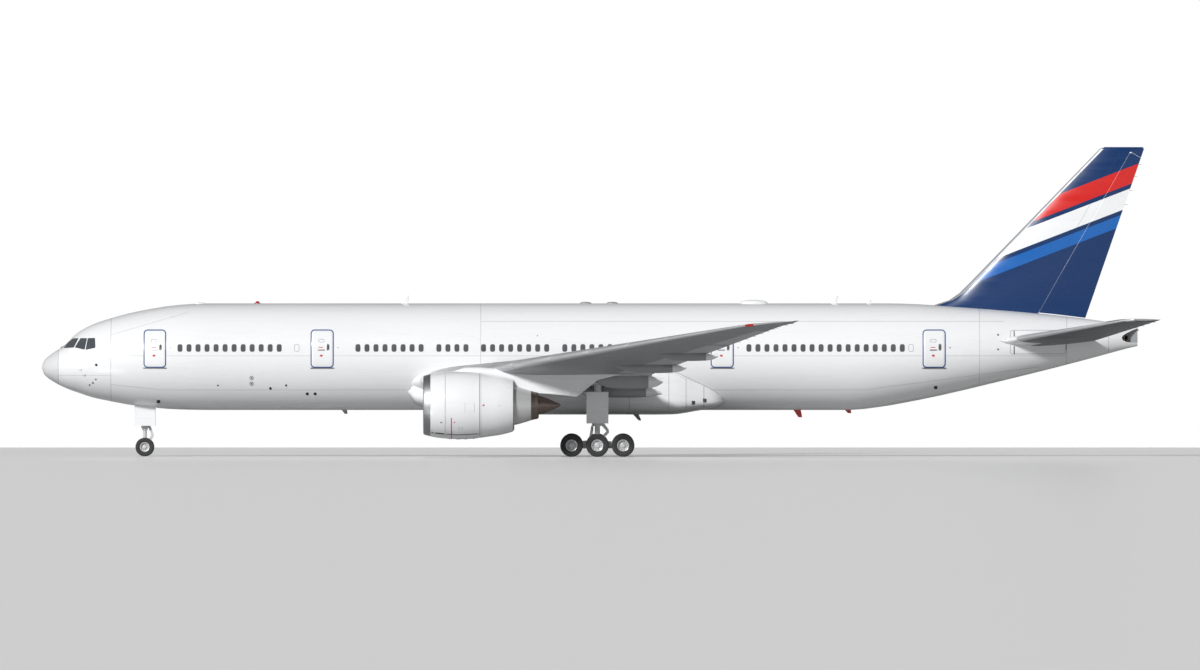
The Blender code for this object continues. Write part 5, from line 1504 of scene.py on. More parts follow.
def fin_edges(height):
    _, lead_x, trail_x, thickness = straight_row(FIN_LINES, height)
    return Vector((lead_x, 0, height)), Vector((trail_x, 0, height)), thickness


def rudder_hinge(height):
    leading, trailing, thickness = fin_edges(height)
    station = RUDDER_HINGE_FOOT[0] + (height - RUDDER_HINGE_FOOT[1]) * RUDDER_HINGE_SLOPE
    chord = trailing.x - leading.x
    half = half_thickness((station - leading.x) / chord, thickness, chord)
    return Vector((station, 0, height)), half


def fin_and_rudder():
    whole = loft("whole_fin", [aerofoil_ring(*fin_edges(height), ACROSS) for height in FIN_HEIGHTS])
    fin = copy_of(whole, "fin_skin")
    crown = []
    for station in (54, 56, 58, 60, 61.5, TAIL_END):
        crown.append((station, crown_at(station).z + RUDDER_FOOT_GAP))
    foot = prism("foot", [(54, 4), *crown, (66, 7.3), (66, 4)], -3, 3, "Y")
    over_rudder = box("over", (50, 70), (-3, 3), (RUDDER_TOP, 20))
    over_notch = box("over", (50, 70), (-3, 3), (RUDDER_TOP + RUDDER_TOP_GAP, 20))
    ends = [rudder_hinge(height) for height in (*RUDDER_HINGE_HEIGHTS, RUDDER_TOP + RUDDER_TOP_GAP)]
    rudder = hinged_piece("rudder_skin", whole, [fin], ends, RUDDER_TRAVEL, [foot, over_rudder], [over_notch])
    bpy.data.objects.remove(whole)
    settle(fin, "airframe", ["fin"], ["fin"])
    settle(rudder, "rudder_surface", ["fin"], ["rudder"])
    rows = []
    for height in FIN_HEIGHTS[1:-1]:
        leading, trailing, _ = fin_edges(height)
        reach = FIN_EDGE_WIDTH / (trailing.x - leading.x)
        rows.append((height, reach, reach))
    edge = edge_strip(Shape("fin_edge"), on_loft(fin_edges, FIN_HEIGHTS, ACROSS), rows)
    settle(edge.made(), "airframe", ["fin_edge"], angle=60)


def fairing_point(station, degrees):
    """The fairing's skin at an angle from its top, positive to starboard."""
    _, half_width, middle, above, below = smooth_row(FAIRING_LINES, float(station))
    turn = math.radians(degrees)
    across = half_width * swollen(math.sin(turn), FAIRING_SQUARENESS)
    rise = swollen(math.cos(turn), FAIRING_SQUARENESS)
    return Vector((station, across, middle + rise * (above if rise > 0 else below)))


on_fairing = standing_off(fairing_point, -1, 0.02)


def fairing():
    front, back = FAIRING_LINES[0][0], FAIRING_LINES[-1][0]
    stations = [*np.linspace(front, 26.5, 29), *np.linspace(28, 33, 4), *np.linspace(33.5, back, 29)]
    turns = np.degrees(around(FAIRING_POINTS))
    skin = loft("fairing_skin", [[fairing_point(station, turn) for turn in turns] for station in stations])
    settle(skin, "airframe", ["plain_white"], ["wing_body_fairing"])


# Engines

def turned_piece(name, profile, slots=0):
    return Shape(name).add_turned(profile, ENGINE_CENTRE, ALONG, COWL_SEGMENTS, slots).made()


def round_engine(station, radius, turn):
    """A place round the engine's axis, at a turn from its top, positive to starboard."""
    return ENGINE_CENTRE + Vector((station, radius * math.sin(turn), radius * math.cos(turn)))


INLET_PROFILE = through([(22.29, 1.772), (22.50, 1.82), (22.80, 1.865), (23.12, 1.90)], 4)
COWL_PROFILE = through(
    [(COWL_START + 0.01, 1.902), (23.6, 1.924), (24.0, 1.935), (24.5, 1.915), (COWL_END - 0.006, 1.862)], 4
)
SLEEVE_PROFILE = through(
    [(SLEEVE_START + 0.006, 1.858), (25.6, 1.784), (26.2, 1.698), (26.7, 1.58), (26.98, 1.495)], 5
)


def inlet():
    outside = [(21.90, 1.575), (21.885, 1.60), (21.88, 1.63), (21.93, 1.67), (22.08, 1.72), (22.28, 1.77)]
    inside = [(22.28, 1.505), (22.12, 1.515), (21.98, 1.545), (21.90, 1.575)]
    lip = through(outside, 4) + [(22.28, 1.70), (22.28, 1.56)] + through(inside, 4)[:-1]
    node = "{side}_inlet_cowl"
    settle_both(turned_piece("lip", lip), "{side}_inlet_lip", "airframe", ["lip_metal"], [node])
    duct = [(23.12, 1.625), (22.80, 1.55), (22.35, 1.503), (22.29, 1.505)]
    slots = [0] * (len(INLET_PROFILE) - 1) + [1] * (len(duct) + 1)
    skin = turned_piece("inlet", INLET_PROFILE + duct, slots=slots)
    settle_both(skin, "{side}_inlet_skin", "airframe", ["plain_white", "liner"])


def fan_cowl():
    inside = [(COWL_END - 0.006, 1.66), (COWL_START + 0.01, 1.64)]
    slots = [0] * (len(COWL_PROFILE) - 1) + [1, 1, 1]
    cowl = turned_piece("cowl", COWL_PROFILE + inside, slots=slots)
    node = "{side}_fan_cowl"
    settle_both(cowl, node + "_skin", "airframe", ["plain_white", "liner"], [node])


def reverser_sleeve():
    inner = through([(26.99, 1.452), (26.3, 1.50), (25.6, 1.56), (SLEEVE_START + 0.006, 1.62)], 4)
    slots = [0] * (len(SLEEVE_PROFILE) - 1) + [1] * (len(inner) + 1)
    sleeve = turned_piece("sleeve", SLEEVE_PROFILE + inner, slots=slots)
    pylon_slot = ((ENGINE_SPAN - 0.35, ENGINE_SPAN + 0.35), (ENGINE_HEIGHT + 1, ENGINE_HEIGHT + 3))
    cut(sleeve, box("slot", (24.5, 28), *pylon_slot))
    node = "{side}_reverser_sleeve"
    settle_both(sleeve, "{side}_reverser_skin", node + "_body", ["plain_white", "liner"], [node])
    guides = Shape("guides")
    for degrees in (90, 180, 270):
        turn = math.radians(degrees)
        ends = [round_engine(station, GUIDE_ROD_PLACE, turn) for station in (COWL_END - 0.2, SLEEVE_START + 0.8)]
        guides.add_tube(ends, GUIDE_ROD_RADIUS, 0, 14)
    fit_both(guides, "guide_rods", ["chrome"])


def engine_core():
    """The casing, the nozzle and its plug, and the vanes between the core and the cowl."""
    core = Shape("core")
    core.add_turned([(23.86, 0.0), *through(CORE_CASING, 5), (28.00, 0.0)], ENGINE_CENTRE, ALONG, 72, 0)
    nozzle = through([(28.01, 0.862), (28.2, 0.81), (28.40, 0.775)], 4) + [(28.40, 0.735), (28.01, 0.79)]
    core.add_turned(nozzle, ENGINE_CENTRE, ALONG, 72, 1)
    plug = through([(28.01, 0.60), (28.3, 0.575), (28.7, 0.47), (29.1, 0.33), (29.45, 0.17), (29.66, 0.05)], 5)
    core.add_turned([(28.01, 0.0), *plug, (29.69, 0.0)], ENGINE_CENTRE, ALONG, 72, 2)
    section = [(24.28 + back, side + 0.10 * back) for back, side in VANE_SECTION]
    for index in range(VANES):
        turn = Matrix.Rotation(2 * math.pi * (index + 0.5) / VANES, 4, "X")
        rings = [[ENGINE_CENTRE + turn @ Vector((*place, radius)) for place in section] for radius in VANE_RADII]
        core.add_rings(rings, 3)
    finishes = ["casing", "hot", "hot", "titanium"]
    settle_both(core.made(), "{side}_core_casing", "airframe", finishes, ["{side}_engine_core"], 40)


def blade_section(radius):
    """A fan blade's stations and sides at a radius: root to tip it turns from along the axis to across it."""
    part = (radius - BLADE_ROOT) / (BLADE_TIP - BLADE_ROOT)
    twist = math.radians(28 + 38 * part)
    chord = 0.46 + 0.16 * math.sin(math.pi * min(part + 0.15, 1.0))
    thick = 0.045 - 0.030 * part
    sweep = -0.05 * math.sin(math.pi * part) + 0.05 * part
    points = []
    for angle in around(20):
        along = 0.5 * math.cos(angle)
        off = 0.5 * math.sin(angle) * (1 - 0.25 * math.cos(angle)) * thick
        bow = 0.06 * (1 - 4 * along * along) * chord
        x = along * chord * math.cos(twist) - (off + bow) * math.sin(twist)
        y = along * chord * math.sin(twist) + (off + bow) * math.cos(twist)
        points.append(Vector((FAN_STATION + sweep + x, y, radius)))
    return points


SPINNER = through(
    [(22.555, 0.0), (22.58, 0.06), (22.66, 0.135), (22.85, 0.26), (23.10, 0.395), (23.24, 0.455)], 5
)[1:]


def add_spiral(shape):
    """The white mark on the spinner, wider as it runs aft."""
    rings = []
    for part in np.linspace(0, 1, 25):
        ring = []
        for shift, lift in ((-0.03, -0.01), (-0.03, 0.006), (0.03, 0.006), (0.03, -0.01)):
            station = SPIRAL_START + SPIRAL_LENGTH * part + shift * (0.3 + 0.7 * part)
            radius = float(np.interp(station, *zip(*SPINNER)))
            ring.append(round_engine(station, radius + lift, SPIRAL_TURN * part))
        rings.append(ring)
    shape.add_rings(rings, 3)


def fans():
    shape = Shape("fan")
    hub = [(22.553, 0.0), *SPINNER, (23.28, 0.50), (23.72, 0.60), (23.75, 0.12), (24.25, 0.12), (24.25, 0.0)]
    shape.add_turned(hub, ENGINE_CENTRE, ALONG, 64, [1] * len(SPINNER) + [0] * 6)
    for index in range(FAN_BLADES):
        turn = Matrix.Rotation(2 * math.pi * index / FAN_BLADES, 4, "X")
        rings = []
        for radius in (BLADE_ROOT, 0.6, 0.8, 1.0, 1.2, 1.4, 1.53, 1.608):
            rings.append([ENGINE_CENTRE + turn @ point for point in blade_section(radius)])
        shape.add_rings(rings, 2)
    add_spiral(shape)
    finishes = ["core_metal", "seam", "titanium", "plain_white"]
    settle_both(shape.made(), "{side}_fan_wheel", "{side}_fan_body", finishes, ["{side}_fan"], 40)


def pylons():
    rings = []
    for station in np.linspace(23.5, 33.3, 66):
        _, low, high, half_width = straight_row(PYLON_LINES, station)
        depth = min(0.3, 0.6 * (high - low))
        turns = [math.pi / 2 * step / 8 for step in range(9)]
        section = [(math.sin(turn), high - depth + depth * math.cos(turn)) for turn in turns]
        section += [(1, low + 0.04), (0.9, low)]
        whole = section + [(-side, height) for side, height in reversed(section[1:])]
        rings.append([Vector((station, ENGINE_SPAN + half_width * side, height)) for side, height in whole])
    body = loft("pylon", rings)
    settle_both(body, "{side}_pylon_skin", "airframe", ["plain_white"], ["{side}_pylon"])


# Landing gear

def wheel(shape, centre, side, radius, width, bead, axle):
    """A tyre with four grooves round its tread, on a dished rim with bolts. side is where its outer face is."""
    half = width / 2
    tread = []
    for step, across in enumerate(np.linspace(-1, 1, 25)):
        groove = 0.011 if step in GROOVES else 0.0
        tread.append((across * half * 0.80, radius * (1 - 0.020 * abs(across) ** 3) - groove))
    shoulder = [(half * place, radius * size) for place, size in TYRE_SHOULDER] + [(half * 0.80, bead)]
    profile = [(-place, size) for place, size in reversed(shoulder)] + tread + shoulder
    profile += [(half * 0.72, bead - 0.01), (-half * 0.72, bead - 0.01)]
    shape.add_turned(profile, centre, ACROSS, 64, 0)
    out = side * half
    rim = [
        (out * 0.84, bead + 0.008), (out * 0.90, bead - 0.005), (out * 0.86, bead - 0.035), (out * 0.45, bead - 0.06),
        (out * 0.30, bead * 0.60), (out * 0.42, bead * 0.42), (out * 0.66, bead * 0.36), (out * 0.72, bead * 0.18),
        (out * 0.72, 0.0),
    ]
    back = [(-out * 0.84, 0.0), (-out * 0.84, bead * 0.9), (-out * 0.80, bead + 0.004)]
    shape.add_turned(back + rim, centre, ACROSS, 48, 1)
    for turn in around(10):
        spoke = Vector((math.cos(turn), 0, math.sin(turn)))
        foot = centre + spoke * bead * 0.50 + ACROSS * out * 0.36
        shape.add_tube([foot - ACROSS * out * 0.15, foot + ACROSS * out * 0.10], 0.013, 2, 8)
        # The rim's holes are near-black tubes: painted shade
        hole = centre + spoke * bead * 0.76 + ACROSS * out * 0.33
        shape.add_tube([hole - ACROSS * out * 0.2, hole + ACROSS * out * 0.10], bead * 0.085, 3, 14)
    shape.add_tube([centre - ACROSS * out * 0.9, centre], axle, 2, 20)


def wheel_pair(station, span, radius, places, bead, axle):
    """Two wheels on an axle, whose tyres just touch the ground."""
    height = radius * math.cos(math.pi / CAD_WHEEL_SEGMENTS)
    inner, outer = places
    shape = Shape("nose_wheels_tyred")
    for side in (-1, 1):
        centre = Vector((station, span + side * (inner + outer) / 2, height))
        wheel(shape, centre, side, height - 0.001, outer - inner, bead, axle)
    ends = [Vector((station, span + side * inner, height)) for side in (-1, 1)]
    shape.add_tube(ends, axle * 0.95, 2, 20)
    return shape.made()


def wheels():
    finishes = ["rubber", "gear", "steel", "marks_and_hole_shade"]
    nose = wheel_pair(NOSE_GEAR_STATION, 0.0, NOSE_TYRE_RADIUS, (0.255, 0.695), 0.27, 0.065)
    settle(nose, "nose_wheel_pair", finishes, ["nose_wheels"], 40)
    for kind, pitch in (("front", -AXLE_PITCH), ("middle", 0.0), ("aft", AXLE_PITCH)):
        pair = wheel_pair(MAIN_GEAR_STATION + pitch, MAIN_GEAR_SPAN, MAIN_TYRE_RADIUS, (0.43, 0.945), 0.33, 0.085)
        base = "{side}_" + kind + "_wheels"
        settle_both(pair, base + "_tyred", base + "_body", finishes, [base], 40)


def gear_details():
    """The CAD legs and doors keep their shape, and take a finish and smooth round faces."""
    for name in ("nose_leg", "nose_fork", "left_main_leg", "right_main_leg", "left_aft_axle", "right_aft_axle"):
        dress_node(name, "gear")
    for name in ("left_leg_door", "right_leg_door", "left_nose_gear_door", "right_nose_gear_door"):
        dress_node(name, "plain_white")


def dress_node(name, finish):
    """A CAD node that stays, with its own finish and smooth round faces."""
    node = frame["nodes"][name]
    node.data.materials.clear()
    node.data.materials.append(materials[finish])
    for polygon in node.data.polygons:
        polygon.material_index = 0
        polygon.use_smooth = True
    node.data.set_sharp_from_angle(angle=math.radians(30))


# Fittings on the skin

def add_blade(shape, foot, rise, chord, tip_chord, sweep, thickness, slot=0):
    """A blade antenna: its foot, the vector to its tip, its chords there, and how far the tip lies aft."""
    rings = []
    for part, shrink in ((-0.15, 1.0), (0.0, 1.0), (0.5, 1.0), (0.92, 1.0), (1.0, 0.8)):
        length = (chord + (tip_chord - chord) * max(part, 0.0)) * shrink
        centre = foot + rise * part + ALONG * sweep * part
        ring = []
        for turn in around(18):
            width = thickness / 2 * math.sin(turn) * (1 - 0.35 * math.cos(turn)) * shrink
            ring.append(centre + ALONG * length / 2 * math.cos(turn) + ACROSS * width)
        rings.append(ring)
    shape.add_rings(rings, slot)


def add_dome(shape, foot, rise, half_length, half_width, slot=0):
    """A low streamlined dome, that stands along a rise vector."""
    rings = []
    for part, size in ((-0.3, 1.0), (0.0, 1.0), (0.35, 0.95), (0.65, 0.80), (0.88, 0.52), (0.99, 0.16)):
        ring = []
        for turn in around(28):
            along, across = half_length * size * math.cos(turn), half_width * size * math.sin(turn)
            ring.append(foot + rise * part + Vector((along, across, 0)))
        rings.append(ring)
    shape.add_rings(rings, slot)


def crown_at(station):
    return Vector((station, 0, float(skin_row(station)[0])))


def keel_at(station):
    return Vector((station, 0, float(skin_row(station)[1])))


def antennas():
    crown = Shape("crown_antennas")
    for station, height, chord, tip_chord, sweep in (
        (20.75, 0.44, 0.42, 0.20, 0.14), (45.30, 0.44, 0.38, 0.20, 0.14), (47.30, 0.22, 0.26, 0.16, 0.05),
    ):
        add_blade(crown, crown_at(station), UP * height, chord, tip_chord, sweep, 0.05)
    for station, height, half_length, half_width, slot in (
        (40.70, 0.20, 0.82, 0.30, 0), (9.04, 0.07, 0.30, 0.12, 0), (31.10, 0.09, 0.33, 0.22, 1),
        (32.62, 0.09, 0.33, 0.22, 1),
    ):
        add_dome(crown, crown_at(station), UP * height, half_length, half_width, slot)
    settle(crown.made(), "airframe", ["plain_white", "grey"])
    belly = Shape("belly_antennas")
    add_blade(belly, Vector((33.95, 0, 2.43)), UP * -0.38, 0.34, 0.16, 0.26, 0.06, 0)
    add_blade(belly, keel_at(43.20), UP * -0.42, 0.42, 0.22, 0.18, 0.06, 1)
    add_blade(belly, keel_at(46.10), UP * -0.18, 0.34, 0.2, 0.1, 0.05, 1)
    add_blade(belly, keel_at(17.30), UP * -0.22, 0.30, 0.18, 0.1, 0.05, 0)
    settle(belly.made(), "airframe", ["grey", "mark_red"])


def beacons():
    lamps = Shape("red_beacons")
    add_dome(lamps, crown_at(12.33), UP * 0.13, 0.13, 0.10, 0)
    add_dome(lamps, Vector((27.4, 0, 2.41)), UP * -0.13, 0.13, 0.10, 0)
    add_dome(lamps, crown_at(12.33), UP * 0.03, 0.20, 0.15, 1)
    settle(lamps.made(), "airframe", ["red_lens", "steel"])


def lamp_covers():
    """The wing tips' red and green lenses, the lamps in the wing's root, and the tail light."""
    for side, finish in (("left", "red_lens"), ("right", "green_lens")):
        rows = [(span, 0.075, 0.075) for span in (30.30, 30.66)]
        lens = edge_strip(Shape(side + "_tip_light"), on_wing, rows, offset=0.016).made()
        settle(to_port(lens) if side == "left" else lens, "airframe", [finish])
    rows = [(span, 0.018, 0.020) for span in (3.35, 3.60)]
    root = edge_strip(Shape("root_lights"), on_wing, rows, offset=0.014)
    fit_both(root, "root_lights", ["clear_lens"])
    tail = Shape("tail_light")
    profile = [(-0.01, 0.0), (-0.01, 0.055), (0.06, 0.045), (0.09, 0.0)]
    tail.add_turned(profile, Vector((TAIL_END, 0.06, 7.22)), ALONG, 24)
    settle(tail.made(), "airframe", ["clear_lens"])


def add_port(shape, station, height, radius, slot):
    """A round fitting flush with the side: a ring round a sunk middle."""
    profile = ((1.0, -0.01), (1.0, 0.006), (0.75, 0.008), (0.7, 0.003), (0.05, 0.003))
    add_patch(shape, oval((station, height), radius, radius, 18), profile, on_side, slot)


def skin_fittings():
    """Static ports, drains, probes and access covers along the side."""
    shape = Shape("fittings")
    # The sunk middles of these ports and of the drains below are near black: painted shade
    for station, height, radius in (
        (3.12, 4.40, 0.045), (2.95, 4.20, 0.05), (2.76, 4.08, 0.045), (10.10, 4.06, 0.05),
        (15.20, 3.58, 0.085), (15.65, 3.58, 0.085), (28.35, 6.90, 0.03), (3.15, 5.23, 0.075),
    ):
        add_port(shape, station, height, radius, 1)
    for station, height in ((6.69, 3.14), (51.1, 3.94)):
        outline = rounded_rectangle((station - 0.10, height - 0.09), (station + 0.10, height + 0.09), 0.02, 2, 2)
        add_patch(shape, outline, dish(0.85, 0.8), on_side, [0, 0, 1, 1])
    for station, height in ((2.30, 4.95), (2.52, 4.66)):
        foot = on_side(station, height, -0.02)
        out = (on_side(station, height, 0.12) - foot).normalized()
        tip = foot + out * 0.10 - ALONG * 0.14
        shape.add_tube([foot, foot + out * 0.07 - ALONG * 0.01, foot + out * 0.09 - ALONG * 0.04, tip], 0.009, 0, 10)
        shape.add_tube([foot - out * 0.01, foot + out * 0.024], 0.028, 0, 14)
    fit_both(shape, "skin_fittings", ["window_frame", "marks_and_hole_shade", "steel"])


def left_fittings():
    """Ports that only the port side has, because the cargo door takes their place on the other."""
    shape = Shape("left_fittings")
    # These ports' sunk middles are near black: painted shade
    for station, height, radius in ((13.10, 3.89, 0.075), (14.00, 4.06, 0.06)):
        add_port(shape, station, height, radius, 1)
    for height in (4.49, 4.16):
        add_band(shape, oval((12.03, height), 0.115, 0.115, 24), -0.028, on_side, 0)
        add_port(shape, 12.03, height, 0.05, 0)
    settle(to_port(shape.made()), "airframe", ["window_frame", "marks_and_hole_shade"])


def joint_lines():
    """The gaps between the fairing's panels, and its two drain covers."""
    shape = Shape("joint_lines")
    for station in (28.4, 33.6, 35.85, 36.83, 37.85):
        add_line(shape, [(station, turn) for turn in np.linspace(66, 128, 16)], 0.022, on_fairing, 0, 0.003)
    for turn, first, last in ((91.2, 33.6, 38.2), (66, 33.6, 37.6)):
        add_line(shape, [(station, turn) for station in np.linspace(first, last, 40)], 0.020, on_fairing, 0, 0.003)
    for low, high in (((37.15, 97.5), (37.35, 109.6)), ((37.80, 91.0), (38.00, 100.7))):
        add_patch(shape, rounded_rectangle(low, high, 0.02, 1, 3), pad(0.004, 0.005), on_fairing, 1)
    fit_both(shape, "joint_lines", ["soft_seam", "seam"])


def fairing_edge():
    """A seam where the fairing meets the body, above and below."""
    edge = Shape("fairing_edge")
    for furthest in (3, 177):
        path = []
        for station in np.linspace(21.05, 38.95, 70):
            crown, keel, widest, half_width = skin_row(station)
            for turn in np.linspace(furthest, 90, 60):
                point = fairing_point(station, turn)
                reach = crown - widest if point.z > widest else widest - keel
                if (point.y / half_width) ** 2 + ((point.z - widest) / reach) ** 2 > 1.0:
                    path.append(point)
                    break
        edge.add_tube(path, 0.020, 0, 6)
    fit_both(edge, "fairing_edge", ["soft_seam"])


def cowl_radius(station):
    rows = INLET_PROFILE + COWL_PROFILE + SLEEVE_PROFILE
    return float(np.interp(station, [row[0] for row in rows], [row[1] for row in rows]))


def on_cowl(station, degrees, offset):
    return round_engine(station, cowl_radius(station) + offset, math.radians(degrees))


def cowl_markings():
    """A red stripe at the fan, vents, latches and access covers. The outboard side is at 90 degrees."""
    shape = Shape("cowl_marks")
    for turn in (1, -1):
        add_line(shape, [(23.48, turn * degrees) for degrees in np.linspace(112, 171, 24)], 0.05, on_cowl, 0, 0.005)
        add_line(shape, [(station, turn * 150) for station in np.linspace(23.20, 25.0, 12)], 4.2, on_cowl, 3, 0.003)
    # The vent's sunk middle is near black: painted shade
    for outline, profile, slots in (
        (rounded_rectangle((22.85, 120.0), (22.97, 122.8), 0.02, 1, 2), pad(0.004, 0.005), 3),
        (rounded_rectangle((23.62, 119.6), (23.70, 121.4), 0.01, 1, 2), pad(0.004, 0.005), 0),
        (rounded_rectangle((22.34, 147.3), (23.08, 151.0), 0.06, 2, 4), dish(0.94, 0.9), [2, 2, 1, 1]),
    ):
        add_patch(shape, outline, profile, on_cowl, slots)
    add_band(shape, oval((24.0, 133.4), 0.10, 3.0, 24), 0.018, on_cowl, 3, 0.004)
    cover = rounded_rectangle((24.26, 85.8), (24.80, 101.4), 0.03, 2, 4)
    add_line(shape, [*cover, cover[0]], 0.016, on_cowl, 3, 0.004)
    for station in (23.4, 23.85, 24.3, 24.75):
        latch = rounded_rectangle((station - 0.09, 178.2), (station + 0.09, 181.8), 0.03, 2, 2)
        add_patch(shape, latch, pad(0.012, 0.015), on_cowl, 2)
    for degrees in (13.5, -13.5):
        add_line(shape, [(station, degrees) for station in np.linspace(23.2, 25.02, 12)], 0.5, on_cowl, 3, 0.003)
    finishes = ["mark_red", "marks_and_hole_shade", "window_frame", "soft_seam"]
    fit_both(shape, "cowl_markings", finishes)
    small = Shape("sleeve_marks")
    add_band(small, oval((26.2, 90.5), 0.07, 2.3, 20), 0.016, on_cowl, 0, 0.006)
    add_patch(small, [(25.22, 90.0), (25.36, 92.2), (25.36, 87.8)], plate(0.006, 0.006), on_cowl, 1)
    add_line(small, [(25.16, degrees) for degrees in np.linspace(14, 176, 60)], 0.016, on_cowl, 0, 0.003)
    settle_both(small.made(), "{side}_sleeve_markings", "{side}_reverser_sleeve_body", ["soft_seam", "mark_red"])


def wicks(name, edges, places):
    """Static wicks: thin rods behind a trailing edge."""
    shape = Shape(name)
    for place in places:
        foot = edges(place)[1]
        shape.add_tube([foot - ALONG * 0.05, foot + ALONG * 0.17], 0.009, 0, 6)
    return shape.made()


def static_wicks():
    for kind, body, edges, places in (
        ("tip", "airframe", wing_edges, (29.0, 29.5, 30.0, 30.7, 31.3)),
        ("aileron", "{side}_aileron_body", wing_edges, (23.5, 24.7, 25.9, 27.1, 28.1)),
        ("elevator", "{side}_elevator_body", stabiliser_edges, (7.0, 7.9, 8.8, 9.6)),
    ):
        settle_both(wicks("wicks", edges, places), "{side}_" + kind + "_wicks", body, ["hose"])
    settle(wicks("rudder_wicks", fin_edges, (14.4, 15.2, 16.0, 16.7)), "rudder_surface", ["hose"])


def wing_panels():
    """Fuel tank covers under the wing."""
    shape = Shape("covers")
    below = on_side_of(on_wing, -1)
    for index in range(26):
        span = 11.2 + 0.70 * index
        leading, trailing, _ = wing_edges(span)
        outline = oval((span, 0.40), 0.20, 0.15 / (trailing - leading).length, 16)
        add_patch(shape, outline, pad(0.004, 0.008), below, 0)
    fit_both(shape, "tank_covers", ["grey"])


def stabiliser_root():
    """The outline of the moving tailplane's root, its trim marks, and the small fairing ahead."""
    shape = Shape("root_plate")
    outline = rounded_rectangle((55.35, 5.85), (58.55, 7.22), 0.10, 3, 10)
    add_band(shape, outline, -0.022, on_side, 0)
    for station, low, high in ((55.58, 6.80, 7.18), (55.58, 5.83, 6.30), (58.55, 6.09, 6.38)):
        add_line(shape, [(station, height) for height in np.linspace(low, high, 4)], 0.05, on_side, 1)
    # The two ports' sunk middles are near black: painted shade
    for height in (6.95, 6.12):
        add_port(shape, 54.66, height, 0.05, 1)
    fit_both(shape, "root_plate", ["soft_seam", "marks_and_hole_shade"])
    rings = []
    for station, above, below, reach in STABILISER_ROOT_NOSE:
        skin = skin_at_height(station, STABILISER_ROOT_HEIGHT).y - 0.3
        ring = []
        for turn in around(32)[:17]:
            rise = (above if math.cos(turn) > 0 else below) * math.cos(turn)
            ring.append(Vector((station, skin + (reach + 0.3) * math.sin(turn), STABILISER_ROOT_HEIGHT + rise)))
        rings.append(ring)
    settle_both(loft("root_nose", rings), "{side}_root_nose", "airframe", ["plain_white"])


def leg_door_trim():
    """A rim and two stiffeners on the outer face of each main leg's door."""
    low, high = [Vector(corner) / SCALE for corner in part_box("right_leg_door")]
    first, last = low.x + LENGTH / 2, high.x + LENGTH / 2

    def on_door(station, height, offset):
        return Vector((station, high.y + offset, height))

    shape = Shape("door_trim")
    rim = rounded_rectangle((first + 0.04, low.z + 0.04), (last - 0.04, high.z - 0.04), 0.05, 4, 6)
    add_band(shape, rim, -0.05, on_door, 0, height=0.012)
    for part in (1 / 3, 2 / 3):
        station = first + (last - first) * part
        path = [(station, height) for height in np.linspace(low.z + 0.12, high.z - 0.12, 8)]
        add_line(shape, path, 0.05, on_door, 0, height=0.010)
    fit_both(shape, "leg_door_trim", ["plain_white"])


def leg_fittings():
    """Lamps on the nose leg, and hoses and cylinders down the legs."""
    nose = Shape("nose_leg_fittings")
    for side in (-1, 1):
        nose.add_turned(LAMP, Vector((0, side * 0.19, 2.52)), ALONG, 28, [1, 0, 0, 0, 0])
        nose.add_tube([(5.76, side * 0.19, 2.52), (5.84, side * 0.12, 2.50), (5.89, side * 0.08, 2.48)], 0.025, 0, 10)
    for side in (-1, 1):
        path = [(station, side * span, height) for station, span, height in NOSE_HOSE]
        nose.add_tube(through(path, 5), 0.016, 2, 8)
    settle(nose.made(), "airframe", ["gear", "clear_lens", "hose"])
    legs = Shape("main_leg_fittings")
    leg = Vector((MAIN_GEAR_STATION, MAIN_GEAR_SPAN, 0))
    for shift, radius in ((-0.16, 0.018), (-0.06, 0.014), (0.10, 0.018)):
        path = [leg + Vector((aft, shift * part, height)) for aft, part, height in MAIN_HOSE]
        legs.add_tube(through(path, 5), radius, 0, 8)
    joints = [leg + Vector(place) for place in ((-0.42, 0, 1.0), (-0.30, 0, 1.72), (-0.22, 0, 2.2))]
    legs.add_tube(joints[:2], 0.06, 1, 14)
    legs.add_tube(joints[1:], 0.035, 2, 12)
    fit_both(legs, "main_leg_fittings", ["hose", "gear", "chrome"])


# Studio

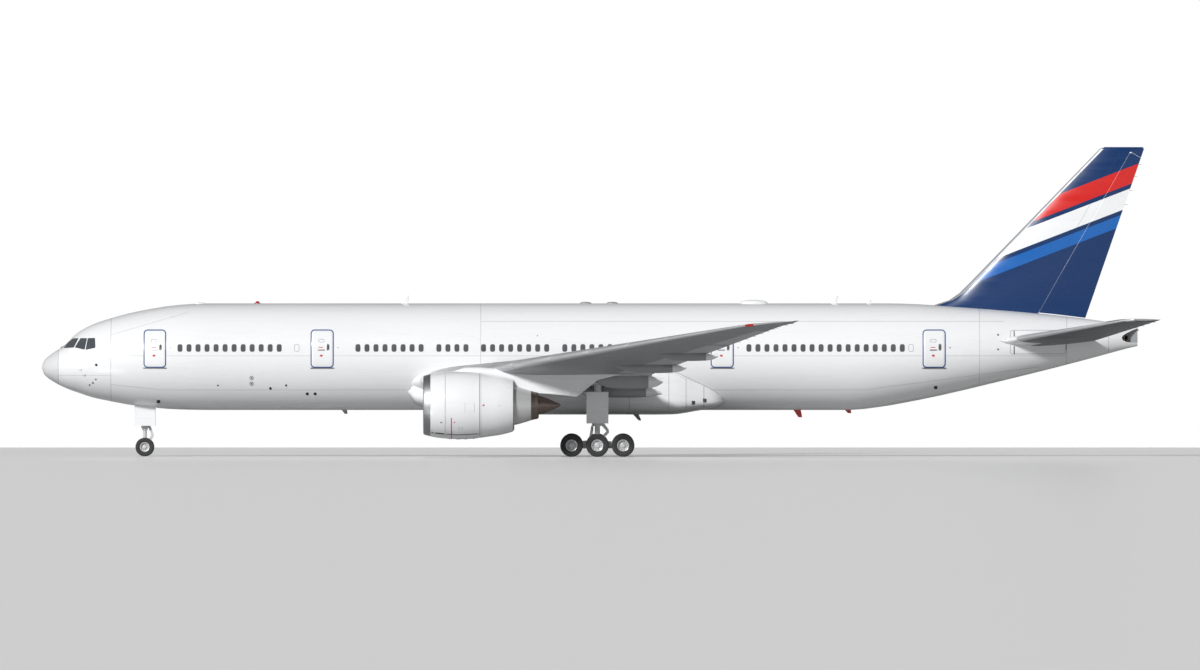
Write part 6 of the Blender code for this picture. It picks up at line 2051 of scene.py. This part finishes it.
def floor():
    mesh = bpy.data.meshes.new("floor")
    near, far, wide = FLOOR_NEAR, FLOOR_FAR, FLOOR_HALF_WIDTH
    mesh.from_pydata([(-wide, near, 0), (wide, near, 0), (wide, far, 0), (-wide, far, 0)], [], [(0, 1, 2, 3)])
    ground = bpy.data.objects.new("floor", mesh)
    bpy.context.scene.collection.objects.link(ground)
    material, tree, shader = new_material("floor")
    place = add_node(tree, "ShaderNodeTexCoord").outputs["Object"]
    shade = remap(tree, noise(tree, place, 0.02, 2.0), 0.3, 0.7, 0.40, 0.42)
    colour = add_node(tree, "ShaderNodeCombineXYZ", X=shade, Y=shade, Z=shade).outputs[0]
    tree.links.new(colour, shader.inputs["Base Color"])
    shader.inputs["Roughness"].default_value = 0.2
    shader.inputs["Specular IOR Level"].default_value = 0.5
    shader.inputs["Sheen Weight"].default_value = 1.0
    shader.inputs["Sheen Roughness"].default_value = 0.35
    mesh.materials.append(material)


def sky():
    """A white sky that is brightest near the horizon."""
    world = bpy.data.worlds.new("studio")
    bpy.context.scene.world = world
    world.use_nodes = True
    tree = world.node_tree
    background = tree.nodes["Background"]
    direction = add_node(tree, "ShaderNodeTexCoord").outputs["Generated"]
    rise = along_direction(tree, direction, HEIGHT)
    above = remap(tree, rise, 0.06, 0.14, 1.0, 0.17)
    below = remap(tree, rise, -0.14, -0.06, 0.42, 1.0)
    tree.links.new(maths(tree, "MINIMUM", above, below), background.inputs["Strength"])
    background.inputs["Color"].default_value = (1.0, 1.0, 1.0, 1.0)
    bpy.context.scene.view_settings.view_transform = "Standard"


def key_light():
    sun = bpy.data.lights.new("key", "SUN")
    sun.energy = KEY_STRENGTH
    sun.angle = KEY_ANGLE
    key = bpy.data.objects.new("key", sun)
    bpy.context.scene.collection.objects.link(key)
    key.rotation_euler = KEY_DIRECTION.to_track_quat("-Z", "Y").to_euler()


def camera():
    """Far off on the port side with a long lens, so that the view is nearly square to the aircraft."""
    data = bpy.data.cameras.new("camera")
    data.sensor_width = SENSOR_WIDTH
    data.lens = LENS
    data.clip_start, data.clip_end = CAMERA_CLIP
    obj = bpy.data.objects.new("camera", data)
    bpy.context.scene.collection.objects.link(obj)
    obj.location = (CAMERA_STATION, -VIEW_WIDTH * LENS / SENSOR_WIDTH, CAMERA_HEIGHT)
    obj.rotation_euler = (math.pi / 2, 0, 0)
    bpy.context.scene.camera = obj


camera()
make_materials()
fuselage()
tail_cone()
cabin_windows()
cabin_doors()
cargo_doors()
cockpit()
wings()
wing_details()
tailplane()
fin_and_rudder()
fairing()
inlet()
fan_cowl()
reverser_sleeve()
engine_core()
fans()
pylons()
wheels()
gear_details()
leg_fittings()
leg_door_trim()
antennas()
beacons()
lamp_covers()
skin_fittings()
left_fittings()
joint_lines()
fairing_edge()
cowl_markings()
static_wicks()
wing_panels()
stabiliser_root()
floor()
sky()
key_light()
